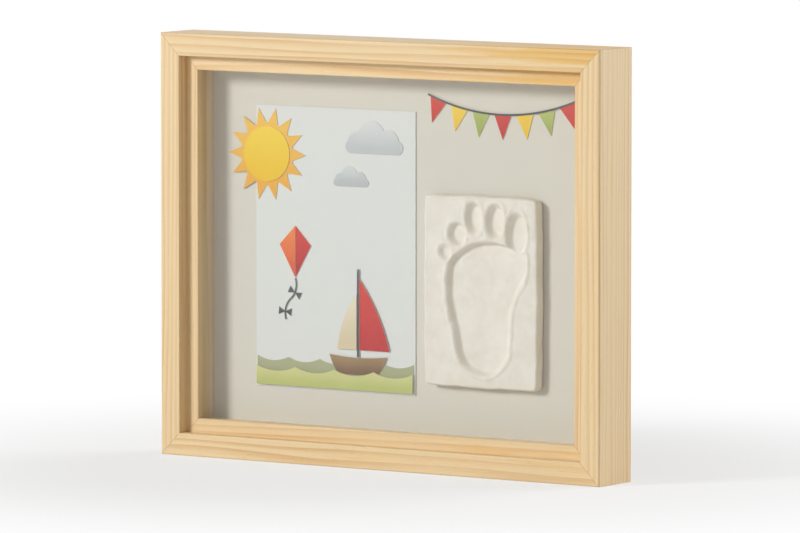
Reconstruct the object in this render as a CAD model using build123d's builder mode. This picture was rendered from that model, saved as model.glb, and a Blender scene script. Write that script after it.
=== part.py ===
from build123d import *
from math import asin, cos, degrees, radians, sin
import os

os.makedirs("parts", exist_ok=True)

# A wooden shadow box frame with a photo card and a pressed clay slab behind glass.
# Millimetres. +X is right seen from the front, -Y is the front, +Z is up.
# The origin is under the bottom rail, half way along it and half way through its depth.

# Wooden frame
frame_width = 275.0
frame_height = 223.0
frame_depth = 30.0
rail_face = 12.0
lip_reach = 7.5
lip_setback = 6.5
lip_thickness = 4.0
outer_edge_round = 1.0
inner_edge_round = 0.6

# What lies in the rebate, from the front to the back
glass_thickness = 2.0
mat_thickness = 2.5
panel_thickness = 4.0
spacer_width = 6.0
pane_gap = 0.5
butt_gap = 0.2
glass_arris = 0.3
panel_chamfer = 0.5

# Photo card on the mat
card_width = 101.0
card_height = 148.0
card_margin_share = 0.417
card_thickness = 0.4
tape_width = 12.0
tape_thickness = 0.2
tape_inset = 4.0

# Pressed clay slab on the mat
slab_width = 71.0
slab_height = 100.0
slab_margin_share = 0.445
slab_foot_share = 0.292
slab_thickness = 6.0
slab_bow = 0.6
slab_corner_round = 2.5
slab_edge_round = 1.2
press_depth = 3.4
press_run = 1.8
press_mouth = 0.7
pad_size = 14.0
pad_thickness = 0.8
pad_inset = 9.0

# Paper cut-outs
paper_thickness = 0.5
paper_gap = 0.4
sun_radius = 14.5
sun_ray_root = 17.0
sun_ray_length = 8.0
sun_ray_base = 6.4
sun_ray_count = 14
large_cloud_width = 36.0
small_cloud_width = 22.0
kite_half_width = 10.0
kite_top = 10.0
kite_bottom = 17.0
kite_seam = 0.3
tail_width = 0.9
tail_drop = 22.0
tail_shift = 6.0
tail_sway = 1.8
bow_size = 4.0
bow_turn = 90.0
wave_inset = 1.0
far_wave_rise = 15.0
far_wave_count = 5
far_wave_swell = 2.2
near_wave_rise = 10.0
near_wave_count = 4
near_wave_swell = 2.6
hull_top = 36.0
hull_foot = 24.0
hull_depth = 10.0
hull_sheer = 1.2
hull_bilge = 0.8
mast_width = 1.2
mast_height = 46.0
main_sail_foot = 19.0
main_sail_height = 37.0
fore_sail_foot = 12.0
fore_sail_height = 29.0
sail_belly = 2.4
sail_rise = 3.0
bunting_inset = 8.0
bunting_drop = 8.5
bunting_sag = 9.0
flag_width_share = 0.8
flag_height = 13.0
flag_count = 7
cord_width = 1.0

# Sheet metal corner nails
nail_leg = 3.6
nail_sheet = 0.6
nail_length = 8.0
nail_sink = 0.3
nail_slack = 0.1
nail_pitch_shares = (0.3, 0.68)

# Turn buttons that hold the back panel, and their screws
button_head_radius = 5.0
button_tip_radius = 3.2
button_span = 13.0
button_sheet = 1.0
button_lift = 1.4
button_bend_share = 0.72
button_gap = 0.3
screw_radius = 1.45
screw_length = 11.0
screw_head_radius = 2.8
screw_head_height = 1.9
running_gap = 0.08
pilot_gap = 0.05
long_rail_button_shares = (0.24, 0.76)
short_rail_button_shares = (0.5,)

# Hanger on the back panel
ring_wire_radius = 0.9
ring_wire_sides = 8
ring_half_width = 8.0
ring_corner = 2.2
ring_leg = 11.0
strap_sheet = 0.8
strap_width = 9.0
strap_length = 10.5
strap_end_round = 2.5
hanger_drop = 36.0
eyelet_radius = 1.9
eyelet_bore = 1.3
eyelet_flange_radius = 2.9
eyelet_flange = 0.5
eyelet_drop = 5.6

# How far a cut runs past what it cuts
overrun = 2.0

# Places worked out from the sizes above. A level is a distance forward of the frame's middle.
front_level = frame_depth / 2
back_level = -frame_depth / 2
lip_front_level = front_level - lip_setback
lip_back_level = lip_front_level - lip_thickness
glass_back_level = lip_back_level - glass_thickness
mat_back_level = back_level + panel_thickness
mat_front_level = mat_back_level + mat_thickness
spacer_depth = glass_back_level - mat_front_level
card_back_level = mat_front_level + tape_thickness
card_front_level = card_back_level + card_thickness
slab_back_level = mat_front_level + pad_thickness
slab_front_level = slab_back_level + slab_thickness
rebate_width = frame_width - 2 * rail_face
rebate_height = frame_height - 2 * rail_face
pane_width = rebate_width - 2 * pane_gap
pane_height = rebate_height - 2 * pane_gap
middle_z = frame_height / 2

# The card and the slab share out the width of the mat that shows in the lip's opening
sight_width = rebate_width - 2 * lip_reach
sight_height = rebate_height - 2 * lip_reach
spare_width = sight_width - card_width - slab_width
spare_height = sight_height - slab_height
card_x = (card_width - sight_width) / 2 + spare_width * card_margin_share
card_z = middle_z
slab_x = (sight_width - slab_width) / 2 - spare_width * slab_margin_share
slab_z = middle_z + (slab_height - sight_height) / 2 + spare_height * slab_foot_share

RIGHT = Vector(1, 0, 0)
UP = Vector(0, 0, 1)
BACK = Vector(0, 1, 0)


def layer(level, x=0.0, z=0.0):
    """A plane that faces the front at one level, with X and Z as its own axes."""
    return Plane(origin=(x, -level, z), x_dir=(1, 0, 0), z_dir=(0, -1, 0))


# Each rail by name: the outer corner it starts at, which way it runs, which way is inwards,
# its length and where its turn buttons sit along it.
left_foot = Vector(-frame_width / 2, 0, 0)
right_foot = Vector(frame_width / 2, 0, 0)
left_head = left_foot + UP * frame_height
right_head = right_foot + UP * frame_height
RAILS = {
    "bottom": (left_foot, RIGHT, UP, frame_width, long_rail_button_shares),
    "right": (right_foot, UP, -RIGHT, frame_height, short_rail_button_shares),
    "top": (right_head, -RIGHT, -UP, frame_width, long_rail_button_shares),
    "left": (left_head, -UP, RIGHT, frame_height, short_rail_button_shares),
}


def button_seats(corner, run, inward, length, shares):
    """Planes on the rail's back face, at the screws, that point their X inwards."""
    seats = []
    for share in shares:
        place = corner + run * (length * share) + inward * (rail_face / 2) - BACK * back_level
        seats.append(Plane(origin=place, x_dir=inward, z_dir=BACK))
    return seats


def nail_seats(corner, run, inward):
    """Planes on the back face along the mitre, that point their X to the frame's middle."""
    seats = []
    for share in nail_pitch_shares:
        place = corner + (run + inward) * (rail_face * share) - BACK * (back_level + nail_sink)
        seats.append(Plane(origin=place, x_dir=run + inward, z_dir=BACK))
    return seats


all_nail_seats = []
for corner, run, inward, length, shares in RAILS.values():
    all_nail_seats += nail_seats(corner, run, inward)


def v_nail(slack):
    """A V shaped strip of sheet metal driven into both rails of a corner."""
    leg = nail_leg + slack
    with BuildPart() as nail:
        with BuildSketch():
            with BuildLine():
                Polyline((leg, leg), (0, 0), (leg, -leg))
            trace(line_width=nail_sheet + 2 * slack)
        extrude(amount=-nail_length - slack)
        if slack:
            extrude(nail.faces().sort_by(Axis.Z)[-1], amount=nail_sink + overrun)
    return nail.part


nail_shape = v_nail(0)
nail_slot = v_nail(nail_slack)

# Four mitred rails
for side, (corner, run, inward, length, shares) in RAILS.items():
    with BuildPart() as rail:
        with BuildSketch(Plane(origin=corner, x_dir=inward, z_dir=run)) as section:
            with BuildLine():
                Polyline(
                    (0, back_level),
                    (rail_face, back_level),
                    (rail_face, lip_back_level),
                    (rail_face + lip_reach, lip_back_level),
                    (rail_face + lip_reach, lip_front_level),
                    (rail_face, lip_front_level),
                    (rail_face, front_level),
                    (0, front_level),
                    close=True,
                )
            make_face()
            outer_corner = section.vertices().group_by(Axis.X)[0].sort_by(Axis.Y)[-1]
            fillet(outer_corner, outer_edge_round)
            front_corner = section.vertices().group_by(Axis.Y)[-1].sort_by(Axis.X)[-1]
            fillet(front_corner, inner_edge_round)
            lip_corner = section.vertices().group_by(Axis.X)[-1].sort_by(Axis.Y)[-1]
            fillet(lip_corner, inner_edge_round)
        extrude(amount=length)
        split(bisect_by=Plane(origin=corner, z_dir=run - inward), keep=Keep.TOP)
        split(bisect_by=Plane(origin=corner + run * length, z_dir=-run - inward), keep=Keep.TOP)
        for seat in button_seats(corner, run, inward, length, shares):
            with BuildSketch(seat):
                Circle(screw_radius + pilot_gap)
            extrude(amount=-screw_length - pilot_gap, mode=Mode.SUBTRACT)
        for seat in all_nail_seats:
            with Locations(seat.location):
                add(nail_slot, mode=Mode.SUBTRACT)
    rail.part.label = f"rail_{side}"
    export_step(rail.part, f"parts/rail_{side}.step")

# Two corner nails across each mitre
with BuildPart() as corner_nails:
    for seat in all_nail_seats:
        with Locations(seat.location):
            add(nail_shape)
corner_nails.part.label = "corner_nails"
export_step(corner_nails.part, "parts/corner_nails.step")

# Glass against the back of the lip
with BuildPart() as glass_pane:
    with BuildSketch(layer(glass_back_level, z=middle_z)):
        Rectangle(pane_width, pane_height)
    extrude(amount=glass_thickness)
    chamfer(glass_pane.edges(), glass_arris)
glass_pane.part.label = "glass_pane"
export_step(glass_pane.part, "parts/glass_pane.step")

# Spacer strips that keep the mat away from the glass
side_spacer_height = pane_height - 2 * spacer_width - 2 * butt_gap
SPACERS = {
    "top": (0, middle_z + (pane_height - spacer_width) / 2, pane_width, spacer_width),
    "bottom": (0, middle_z - (pane_height - spacer_width) / 2, pane_width, spacer_width),
    "left": ((spacer_width - pane_width) / 2, middle_z, spacer_width, side_spacer_height),
    "right": ((pane_width - spacer_width) / 2, middle_z, spacer_width, side_spacer_height),
}
for side, (x, z, width, height) in SPACERS.items():
    with BuildPart() as spacer:
        with BuildSketch(layer(mat_front_level, x, z)):
            Rectangle(width, height)
        extrude(amount=spacer_depth)
    spacer.part.label = f"spacer_{side}"
    export_step(spacer.part, f"parts/spacer_{side}.step")

# Mat board
with BuildPart() as mat_board:
    with BuildSketch(layer(mat_back_level, z=middle_z)):
        Rectangle(pane_width, pane_height)
    extrude(amount=mat_thickness)
mat_board.part.label = "mat_board"
export_step(mat_board.part, "parts/mat_board.step")

# Photo card and the two tapes that hold it
with BuildPart() as card_tapes:
    tape_pitch = card_width - tape_width - 2 * tape_inset
    with BuildSketch(layer(mat_front_level, card_x, card_z)):
        with GridLocations(tape_pitch, 0, 2, 1):
            Rectangle(tape_width, card_height - 2 * tape_inset)
    extrude(amount=tape_thickness)
card_tapes.part.label = "card_tapes"
export_step(card_tapes.part, "parts/card_tapes.step")

with BuildPart() as photo_card:
    with BuildSketch(layer(card_back_level, card_x, card_z)):
        Rectangle(card_width, card_height)
    extrude(amount=card_thickness)
photo_card.part.label = "photo_card"
export_step(photo_card.part, "parts/photo_card.step")

# Clay slab with the print of a baby's left foot pressed into it. Each hollow is the hull of the
# foot's round pads there: for each pad, its middle as shares of the slab's width and height and
# its radius as a share of the width. Last comes the hollow's depth as a share of the press.
print_shares = {
    "sole": (
        (
            (0.028, -0.273, 0.226),
            (-0.113, -0.06, 0.174),
            (-0.089, 0.095, 0.2),
            (0.183, 0.105, 0.218),
        ),
        1.0,
    ),
    "great_toe": (((0.315, 0.36, 0.086), (0.322, 0.2, 0.08)), 1.0),
    "second_toe": (((0.131, 0.405, 0.077), (0.129, 0.335, 0.063)), 0.95),
    "third_toe": (((-0.055, 0.405, 0.071), (-0.05, 0.35, 0.058)), 0.9),
    "fourth_toe": (((-0.197, 0.3, 0.073),), 0.85),
    "little_toe": (((-0.3, 0.2, 0.05),), 0.45),
}
# The arch, which the foot doesn't press down: its middle and its radius, as above
arch_share = (0.993, -0.24, 0.742)


def print_outline(name, level, grow):
    """One hollow's outline at one level, grown by the same length all round."""
    with BuildSketch(layer(level, slab_x, slab_z)) as outline:
        for across, along, radius in print_shares[name][0]:
            with Locations((across * slab_width, along * slab_height)):
                Circle(radius * slab_width + grow)
        if len(print_shares[name][0]) > 1:
            make_hull()
        if name == "sole":
            across, along, radius = arch_share
            with Locations((across * slab_width, along * slab_height)):
                Circle(radius * slab_width - grow, mode=Mode.SUBTRACT)
    return outline.sketch


with BuildPart() as clay_slab:
    with BuildSketch(layer(slab_back_level, slab_x, slab_z)) as blank:
        half_width = slab_width / 2
        half_height = slab_height / 2
        with BuildLine():
            corners = [
                (half_width - slab_bow, half_height - slab_bow),
                (slab_bow - half_width, half_height - slab_bow),
                (slab_bow - half_width, slab_bow - half_height),
                (half_width - slab_bow, slab_bow - half_height),
            ]
            ThreePointArc(corners[0], (0, half_height), corners[1])
            ThreePointArc(corners[1], (-half_width, 0), corners[2])
            ThreePointArc(corners[2], (0, -half_height), corners[3])
            ThreePointArc(corners[3], (half_width, 0), corners[0])
        make_face()
        fillet(blank.vertices(), slab_corner_round)
    extrude(amount=slab_thickness)
    chamfer(clay_slab.faces().sort_by(Axis.Y)[0].edges(), slab_edge_round)
    # Each hollow narrows from just over the slab's face down to its floor
    for name, (_, depth_share) in print_shares.items():
        mouth = print_outline(name, slab_front_level + press_mouth, press_mouth)
        floor = print_outline(name, slab_front_level - press_depth * depth_share, -press_run)
        loft(sections=[mouth, floor], ruled=True, mode=Mode.SUBTRACT)
clay_slab.part.label = "clay_slab"
export_step(clay_slab.part, "parts/clay_slab.step")

# Foam pads behind the slab
with BuildPart() as slab_pads:
    with BuildSketch(layer(mat_front_level, slab_x, slab_z)):
        pad_pitch_x = slab_width - pad_size - 2 * pad_inset
        pad_pitch_z = slab_height - pad_size - 2 * pad_inset
        with GridLocations(pad_pitch_x, pad_pitch_z, 2, 2):
            Rectangle(pad_size, pad_size)
    extrude(amount=pad_thickness)
slab_pads.part.label = "slab_pads"
export_step(slab_pads.part, "parts/slab_pads.step")

# Removable back panel, with a hole and a recess for the hanger's eyelet
hanger_z = frame_height - hanger_drop
eyelet_z = hanger_z - eyelet_drop
with BuildPart() as back_panel:
    with BuildSketch(layer(back_level, z=middle_z)):
        Rectangle(pane_width, pane_height)
    extrude(amount=panel_thickness)
    chamfer(back_panel.faces().sort_by(Axis.Y)[-1].edges(), panel_chamfer)
    with BuildSketch(layer(back_level, z=eyelet_z)):
        Circle(eyelet_radius + pilot_gap)
    extrude(amount=panel_thickness, mode=Mode.SUBTRACT)
    with BuildSketch(layer(mat_back_level, z=eyelet_z)):
        Circle(eyelet_flange_radius + pilot_gap)
    extrude(amount=-eyelet_flange - pilot_gap, mode=Mode.SUBTRACT)
back_panel.part.label = "back_panel"
export_step(back_panel.part, "parts/back_panel.step")

# One turn button, lying along its own X with the screw at its origin
button_reach = button_span + button_tip_radius
bend_x = button_reach * button_bend_share
with BuildPart() as button:
    with BuildSketch(Plane.XZ):
        with BuildLine():
            Polyline(
                (-button_head_radius, button_gap),
                (bend_x, button_gap),
                (button_reach, button_gap + button_lift),
                (button_reach, button_gap + button_lift + button_sheet),
                (bend_x, button_gap + button_sheet),
                (-button_head_radius, button_gap + button_sheet),
                close=True,
            )
        make_face()
    extrude(amount=button_head_radius, both=True)
    with BuildSketch():
        Circle(button_head_radius)
        with Locations((button_span, 0)):
            Circle(button_tip_radius)
        make_hull()
    extrude(amount=button_gap + button_lift + button_sheet, mode=Mode.INTERSECT)
    with BuildSketch():
        Circle(screw_radius + running_gap)
    extrude(amount=button_gap + button_sheet, mode=Mode.SUBTRACT)

# One screw, with its head just clear of the button
head_level = button_gap + button_sheet + running_gap
head_top_level = head_level + screw_head_height
with BuildPart() as screw:
    with BuildSketch(Plane.XZ):
        with BuildLine():
            Polyline(
                (0, head_top_level),
                (0, -screw_length),
                (screw_radius, -screw_length),
                (screw_radius, head_level),
                (screw_head_radius, head_level),
                (screw_head_radius, head_top_level),
                close=True,
            )
        make_face()
    revolve(axis=Axis.Z)

# The turn buttons, each its own moving piece, and their screws
screw_seats = []
for side, (corner, run, inward, length, shares) in RAILS.items():
    seats = button_seats(corner, run, inward, length, shares)
    screw_seats += seats
    for seat in seats:
        end = "" if len(seats) == 1 else ("_left" if seat.origin.X < 0 else "_right")
        with BuildPart() as turn_button:
            with Locations(seat.location):
                add(button.part)
        turn_button.part.label = f"turn_button_{side}{end}"
        export_step(turn_button.part, f"parts/turn_button_{side}{end}.step")

with BuildPart() as turn_button_screws:
    for seat in screw_seats:
        with Locations(seat.location):
            add(screw.part)
turn_button_screws.part.label = "turn_button_screws"
export_step(turn_button_screws.part, "parts/turn_button_screws.step")

# Hanger: a strap folded round the ring's bar, an eyelet and the ring
eye_bore = ring_wire_radius + running_gap
eye_radius = eye_bore + strap_sheet
eye_y = -back_level + eye_radius
with BuildPart() as hanger_strap:
    with BuildSketch(Plane(origin=(0, 0, 0), x_dir=(0, 1, 0), z_dir=(1, 0, 0))):
        with Locations((eye_y, hanger_z)):
            Circle(eye_radius)
        with Locations((-back_level, hanger_z)):
            Rectangle(2 * strap_sheet, strap_length, align=(Align.MIN, Align.MAX))
        with Locations((eye_y, hanger_z)):
            Circle(eye_bore, mode=Mode.SUBTRACT)
    extrude(amount=strap_width / 2, both=True)
    foot_edges = hanger_strap.edges().filter_by(Axis.Y).group_by(Axis.Z)[0]
    fillet(foot_edges, strap_end_round)
    with BuildSketch(layer(back_level, z=eyelet_z)):
        Circle(eyelet_radius + pilot_gap)
    extrude(amount=-2 * strap_sheet, mode=Mode.SUBTRACT)
hanger_strap.part.label = "hanger_strap"
export_step(hanger_strap.part, "parts/hanger_strap.step")

with BuildPart() as hanger_eyelet:
    flange_back = -back_level + 2 * strap_sheet
    flange_front = -mat_back_level
    with BuildSketch(Plane(origin=(0, 0, eyelet_z), x_dir=(0, 1, 0), z_dir=(1, 0, 0))):
        with BuildLine():
            Polyline(
                (flange_front, eyelet_bore),
                (flange_front, eyelet_flange_radius),
                (flange_front + eyelet_flange, eyelet_flange_radius),
                (flange_front + eyelet_flange, eyelet_radius),
                (flange_back, eyelet_radius),
                (flange_back, eyelet_flange_radius),
                (flange_back + eyelet_flange, eyelet_flange_radius),
                (flange_back + eyelet_flange, eyelet_bore),
                close=True,
            )
        make_face()
    revolve(axis=Axis((0, 0, eyelet_z), BACK))
hanger_eyelet.part.label = "hanger_eyelet"
export_step(hanger_eyelet.part, "parts/hanger_eyelet.step")

# The ring: half of its bar, a corner, a leg and a quarter of its round end, then the mirror image
ring_inner = ring_half_width - ring_corner
with BuildPart() as hanger_ring:
    with BuildSketch(Plane(origin=(0, eye_y, hanger_z), x_dir=BACK, z_dir=RIGHT)):
        RegularPolygon(ring_wire_radius, ring_wire_sides)
    extrude(amount=ring_inner)
    corner_axis = Axis((ring_inner, eye_y, hanger_z - ring_corner), BACK)
    revolve(hanger_ring.faces().sort_by(Axis.X)[-1], axis=corner_axis, revolution_arc=90)
    extrude(hanger_ring.faces().sort_by(Axis.Z)[0], amount=ring_leg - ring_corner)
    end_axis = Axis((0, eye_y, hanger_z - ring_leg), BACK)
    revolve(hanger_ring.faces().sort_by(Axis.Z)[0], axis=end_axis, revolution_arc=90)
    mirror(about=Plane.YZ)
hanger_ring.part.label = "hanger_ring"
export_step(hanger_ring.part, "parts/hanger_ring.step")

# Paper cut-outs. Their places on the card are shares of its width and height from its middle.
first_paper_level = card_front_level
second_paper_level = first_paper_level + paper_thickness
third_paper_level = second_paper_level + paper_thickness


def on_mat(level, place_share):
    """A plane on the mat at one of the paper levels, centred at a share of the opening's size."""
    across, along = place_share
    return layer(level, across * sight_width, middle_z + along * sight_height)


def on_card(level, place_share):
    """A plane on the card at one of the paper levels, centred at a share of the card's size."""
    across, along = place_share
    return layer(level, card_x + across * card_width, card_z + along * card_height)


# A sun over the card's upper left corner
sun_share = (-0.356, 0.263)
with BuildPart() as cutout_sun_rays:
    with BuildSketch(on_mat(first_paper_level, sun_share)):
        RegularPolygon(sun_ray_root, sun_ray_count)
        with PolarLocations(sun_ray_root - paper_thickness, sun_ray_count):
            Polygon(
                (-paper_thickness, -sun_ray_base / 2),
                (sun_ray_length, 0),
                (-paper_thickness, sun_ray_base / 2),
                align=None,
            )
    extrude(amount=paper_thickness)
cutout_sun_rays.part.label = "cutout_sun_rays"
export_step(cutout_sun_rays.part, "parts/cutout_sun_rays.step")

with BuildPart() as cutout_sun_disc:
    with BuildSketch(on_mat(second_paper_level, sun_share)):
        Circle(sun_radius)
    extrude(amount=paper_thickness)
cutout_sun_disc.part.label = "cutout_sun_disc"
export_step(cutout_sun_disc.part, "parts/cutout_sun_disc.step")

# Clouds: a flat base and a row of round puffs, as shares of the cloud's width
puff_shares = ((-0.29, 0.05, 0.17), (-0.05, 0.15, 0.23), (0.24, 0.07, 0.19))
cloud_base_share = 0.2
cloud_place_shares = {"large": (0.245, 0.368), "small": (0.1, 0.24)}
cloud_widths = {"large": large_cloud_width, "small": small_cloud_width}
for size, width in cloud_widths.items():
    base_height = width * cloud_base_share
    with BuildPart() as cutout_cloud:
        with BuildSketch(on_card(first_paper_level, cloud_place_shares[size])):
            SlotOverall(width, base_height)
            for across, up, radius in puff_shares:
                with Locations((across * width, up * width)):
                    Circle(radius * width)
            with Locations((0, -base_height / 2)):
                Rectangle(width, width, align=(Align.CENTER, Align.MAX), mode=Mode.SUBTRACT)
        extrude(amount=paper_thickness)
    cutout_cloud.part.label = f"cutout_cloud_{size}"
    export_step(cutout_cloud.part, f"parts/cutout_cloud_{size}.step")

# A kite in two halves, with a tail that carries bows
kite_share = (-0.25, 0.008)
bow_place_share = 0.65
for side, way in (("left", -1), ("right", 1)):
    with BuildPart() as cutout_kite_half:
        with BuildSketch(on_card(first_paper_level, kite_share)):
            Polygon(
                (way * kite_seam / 2, kite_top),
                (way * kite_half_width, 0),
                (way * kite_seam / 2, -kite_bottom),
                align=None,
            )
        extrude(amount=paper_thickness)
    cutout_kite_half.part.label = f"cutout_kite_{side}"
    export_step(cutout_kite_half.part, f"parts/cutout_kite_{side}.step")

with BuildPart() as cutout_kite_tail:
    with BuildSketch(on_card(first_paper_level, kite_share)):
        with BuildLine():
            top = -kite_bottom - paper_gap
            middle = (-tail_shift / 2, top - tail_drop / 2)
            upper = SagittaArc((0, top), middle, tail_sway)
            lower = SagittaArc(middle, (-tail_shift, top - tail_drop), -tail_sway)
        trace(line_width=tail_width)
        for bend in (upper, lower):
            knot = bend.position_at(bow_place_share)
            lean = bend.tangent_angle_at(bow_place_share) + bow_turn
            with Locations(Location((knot.X, knot.Y), lean)):
                Polygon((0, 0), (bow_size, bow_size / 2), (bow_size, -bow_size / 2), align=None)
                Polygon((0, 0), (-bow_size, bow_size / 2), (-bow_size, -bow_size / 2), align=None)
    extrude(amount=paper_thickness)
cutout_kite_tail.part.label = "cutout_kite_tail"
export_step(cutout_kite_tail.part, "parts/cutout_kite_tail.step")

# Two bands of waves along the card's foot
band_width = card_width - 2 * wave_inset
WAVES = {
    "far": (first_paper_level, far_wave_rise, far_wave_count, far_wave_swell),
    "near": (third_paper_level, near_wave_rise, near_wave_count, near_wave_swell),
}
for name, (level, rise, wave_count, swell) in WAVES.items():
    wave_pitch = band_width / wave_count
    with BuildPart() as cutout_wave:
        corner_z = card_z - card_height / 2 + wave_inset
        with BuildSketch(layer(level, card_x - band_width / 2, corner_z)):
            with BuildLine():
                for index in range(wave_count):
                    start = wave_pitch * index
                    ThreePointArc(
                        (start, rise),
                        (start + wave_pitch / 2, rise - swell),
                        (start + wave_pitch, rise),
                    )
                Polyline((band_width, rise), (band_width, 0), (0, 0), (0, rise))
            make_face()
        extrude(amount=paper_thickness)
    cutout_wave.part.label = f"cutout_wave_{name}"
    export_step(cutout_wave.part, f"parts/cutout_wave_{name}.step")

# A sailing boat between the two bands of waves
boat_share = (0.147, -0.371)
boat_plane = on_card(second_paper_level, boat_share)
bilge_middle = (hull_top + hull_foot) / 4 + hull_bilge
with BuildPart() as cutout_boat_hull:
    with BuildSketch(boat_plane):
        with BuildLine():
            ThreePointArc((-hull_top / 2, 0), (0, -hull_sheer), (hull_top / 2, 0))
            ThreePointArc(
                (hull_top / 2, 0),
                (bilge_middle, -hull_depth / 2),
                (hull_foot / 2, -hull_depth),
            )
            Line((hull_foot / 2, -hull_depth), (-hull_foot / 2, -hull_depth))
            ThreePointArc(
                (-hull_foot / 2, -hull_depth),
                (-bilge_middle, -hull_depth / 2),
                (-hull_top / 2, 0),
            )
        make_face()
    extrude(amount=paper_thickness)
cutout_boat_hull.part.label = "cutout_boat_hull"
export_step(cutout_boat_hull.part, "parts/cutout_boat_hull.step")

with BuildPart() as cutout_boat_mast:
    with BuildSketch(boat_plane):
        with Locations((0, paper_gap - hull_sheer)):
            Rectangle(mast_width, mast_height, align=(Align.CENTER, Align.MIN))
    extrude(amount=paper_thickness)
cutout_boat_mast.part.label = "cutout_boat_mast"
export_step(cutout_boat_mast.part, "parts/cutout_boat_mast.step")

SAILS = {
    "main": (1, main_sail_foot, main_sail_height),
    "fore": (-1, fore_sail_foot, fore_sail_height),
}
for name, (way, foot, height) in SAILS.items():
    luff = way * (mast_width / 2 + paper_gap)
    clew = luff + way * foot
    with BuildPart() as cutout_sail:
        with BuildSketch(boat_plane):
            with BuildLine():
                Line((luff, sail_rise), (luff, sail_rise + height))
                ThreePointArc(
                    (luff, sail_rise + height),
                    ((luff + clew) / 2 + way * sail_belly, sail_rise + height / 2),
                    (clew, sail_rise),
                )
                Line((clew, sail_rise), (luff, sail_rise))
            make_face()
        extrude(amount=paper_thickness)
    cutout_sail.part.label = f"cutout_sail_{name}"
    export_step(cutout_sail.part, f"parts/cutout_sail_{name}.step")

# Bunting across the mat above the slab: flags by colour, with a cord over their tops
flag_colours = ("red", "yellow", "green")
bunting_left = card_x + card_width / 2 + bunting_inset
bunting_right = sight_width / 2 - bunting_inset
bunting_x = (bunting_left + bunting_right) / 2
bunting_z = middle_z + sight_height / 2 - bunting_drop
bunting_span = bunting_right - bunting_left
flag_width = bunting_span / flag_count * flag_width_share
bunting_radius = (bunting_span**2 / 4 + bunting_sag**2) / (2 * bunting_sag)
bunting_half_angle = degrees(asin(bunting_span / 2 / bunting_radius))
for order, colour in enumerate(flag_colours):
    with BuildPart() as cutout_flags:
        with BuildSketch(layer(mat_front_level, bunting_x, bunting_z)):
            for index in range(order, flag_count, len(flag_colours)):
                along_share = (2 * index + 1) / flag_count - 1
                angle = bunting_half_angle * along_share
                across = bunting_radius * sin(radians(angle))
                down = bunting_radius * cos(radians(angle)) - bunting_radius + bunting_sag
                with Locations(Location((across, -down), angle)):
                    Polygon(
                        (-flag_width / 2, 0),
                        (flag_width / 2, 0),
                        (0, -flag_height),
                        align=None,
                    )
        extrude(amount=paper_thickness)
    cutout_flags.part.label = f"cutout_flags_{colour}"
    export_step(cutout_flags.part, f"parts/cutout_flags_{colour}.step")

with BuildPart() as cutout_bunting_cord:
    with BuildSketch(layer(mat_front_level + paper_thickness, bunting_x, bunting_z)):
        with BuildLine():
            ThreePointArc((-bunting_span / 2, 0), (0, -bunting_sag), (bunting_span / 2, 0))
        trace(line_width=cord_width)
    extrude(amount=paper_thickness)
cutout_bunting_cord.part.label = "cutout_bunting_cord"
export_step(cutout_bunting_cord.part, "parts/cutout_bunting_cord.step")
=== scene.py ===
"""The looks of a wooden shadow box frame that shows a photo card and a clay footprint behind glass.

Metres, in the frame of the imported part: +X is right seen from the front, -Y is the front, +Z is up.
"""

import logging
import math
from collections.abc import Iterable
from dataclasses import dataclass, field, replace
from enum import Enum

import bmesh
import bpy
import numpy as np
from mathutils import Matrix, Vector, noise


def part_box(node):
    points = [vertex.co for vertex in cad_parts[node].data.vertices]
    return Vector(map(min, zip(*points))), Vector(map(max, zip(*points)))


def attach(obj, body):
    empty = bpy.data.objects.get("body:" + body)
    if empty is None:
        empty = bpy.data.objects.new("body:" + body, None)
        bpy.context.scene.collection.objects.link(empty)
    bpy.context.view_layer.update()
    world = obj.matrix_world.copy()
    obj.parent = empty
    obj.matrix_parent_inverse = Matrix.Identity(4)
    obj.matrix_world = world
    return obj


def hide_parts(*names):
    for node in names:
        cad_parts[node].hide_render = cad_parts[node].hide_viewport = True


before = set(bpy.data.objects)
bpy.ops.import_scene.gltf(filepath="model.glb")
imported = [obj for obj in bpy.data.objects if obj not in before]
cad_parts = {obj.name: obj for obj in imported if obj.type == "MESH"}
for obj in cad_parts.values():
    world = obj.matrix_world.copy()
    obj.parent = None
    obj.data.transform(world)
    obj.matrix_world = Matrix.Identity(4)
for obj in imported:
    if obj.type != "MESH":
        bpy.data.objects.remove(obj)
LOG = logging.getLogger("baby_print_frame")
MM = 0.001
TINY = 1e-9
SHARP = math.radians(42)
# The numbers of a Mix node's factor, its two colours and their mixture
MIX_INPUTS = (0, 6, 7)
MIX_RESULT = 2

Colour = tuple[float, float, float]
Socket = bpy.types.NodeSocket
Feed = float | tuple[float, ...] | Socket


class Grain(Enum):
    """Which way a piece of wood was cut: along its width or its height."""

    ACROSS = "across"
    UPRIGHT = "upright"


class Body(Enum):
    """The bodies that pieces ride on, apart from the turn buttons."""

    FRAME = "frame"
    RING = "hanger_ring"


class Side(Enum):
    """The frame's four sides, each with the way inwards from it."""

    TOP = (0, 0, -1)
    BOTTOM = (0, 0, 1)
    LEFT = (1, 0, 0)
    RIGHT = (-1, 0, 0)


def tint(red: float, green: float, blue: float) -> Colour:
    """Turns a colour as it is seen, from 0 to 255, into the light that a shader takes.

    Args:
        red: Red as seen.
        green: Green as seen.
        blue: Blue as seen.

    Returns:
        The three values in linear light.
    """
    seen = np.array((red, green, blue)) / 255
    light = np.where(seen <= 0.04045, seen / 12.92, ((seen + 0.055) / 1.055) ** 2.4)
    return tuple(float(value) for value in light)


def smooth(value: np.ndarray, low: float, high: float) -> np.ndarray:
    """Eases from 0 at low to 1 at high.

    Args:
        value: The values to ease.
        low: Where the result is 0.
        high: Where the result is 1.

    Returns:
        The eased values.
    """
    share = np.clip((value - low) / (high - low), 0, 1)
    return share * share * (3 - 2 * share)


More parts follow.
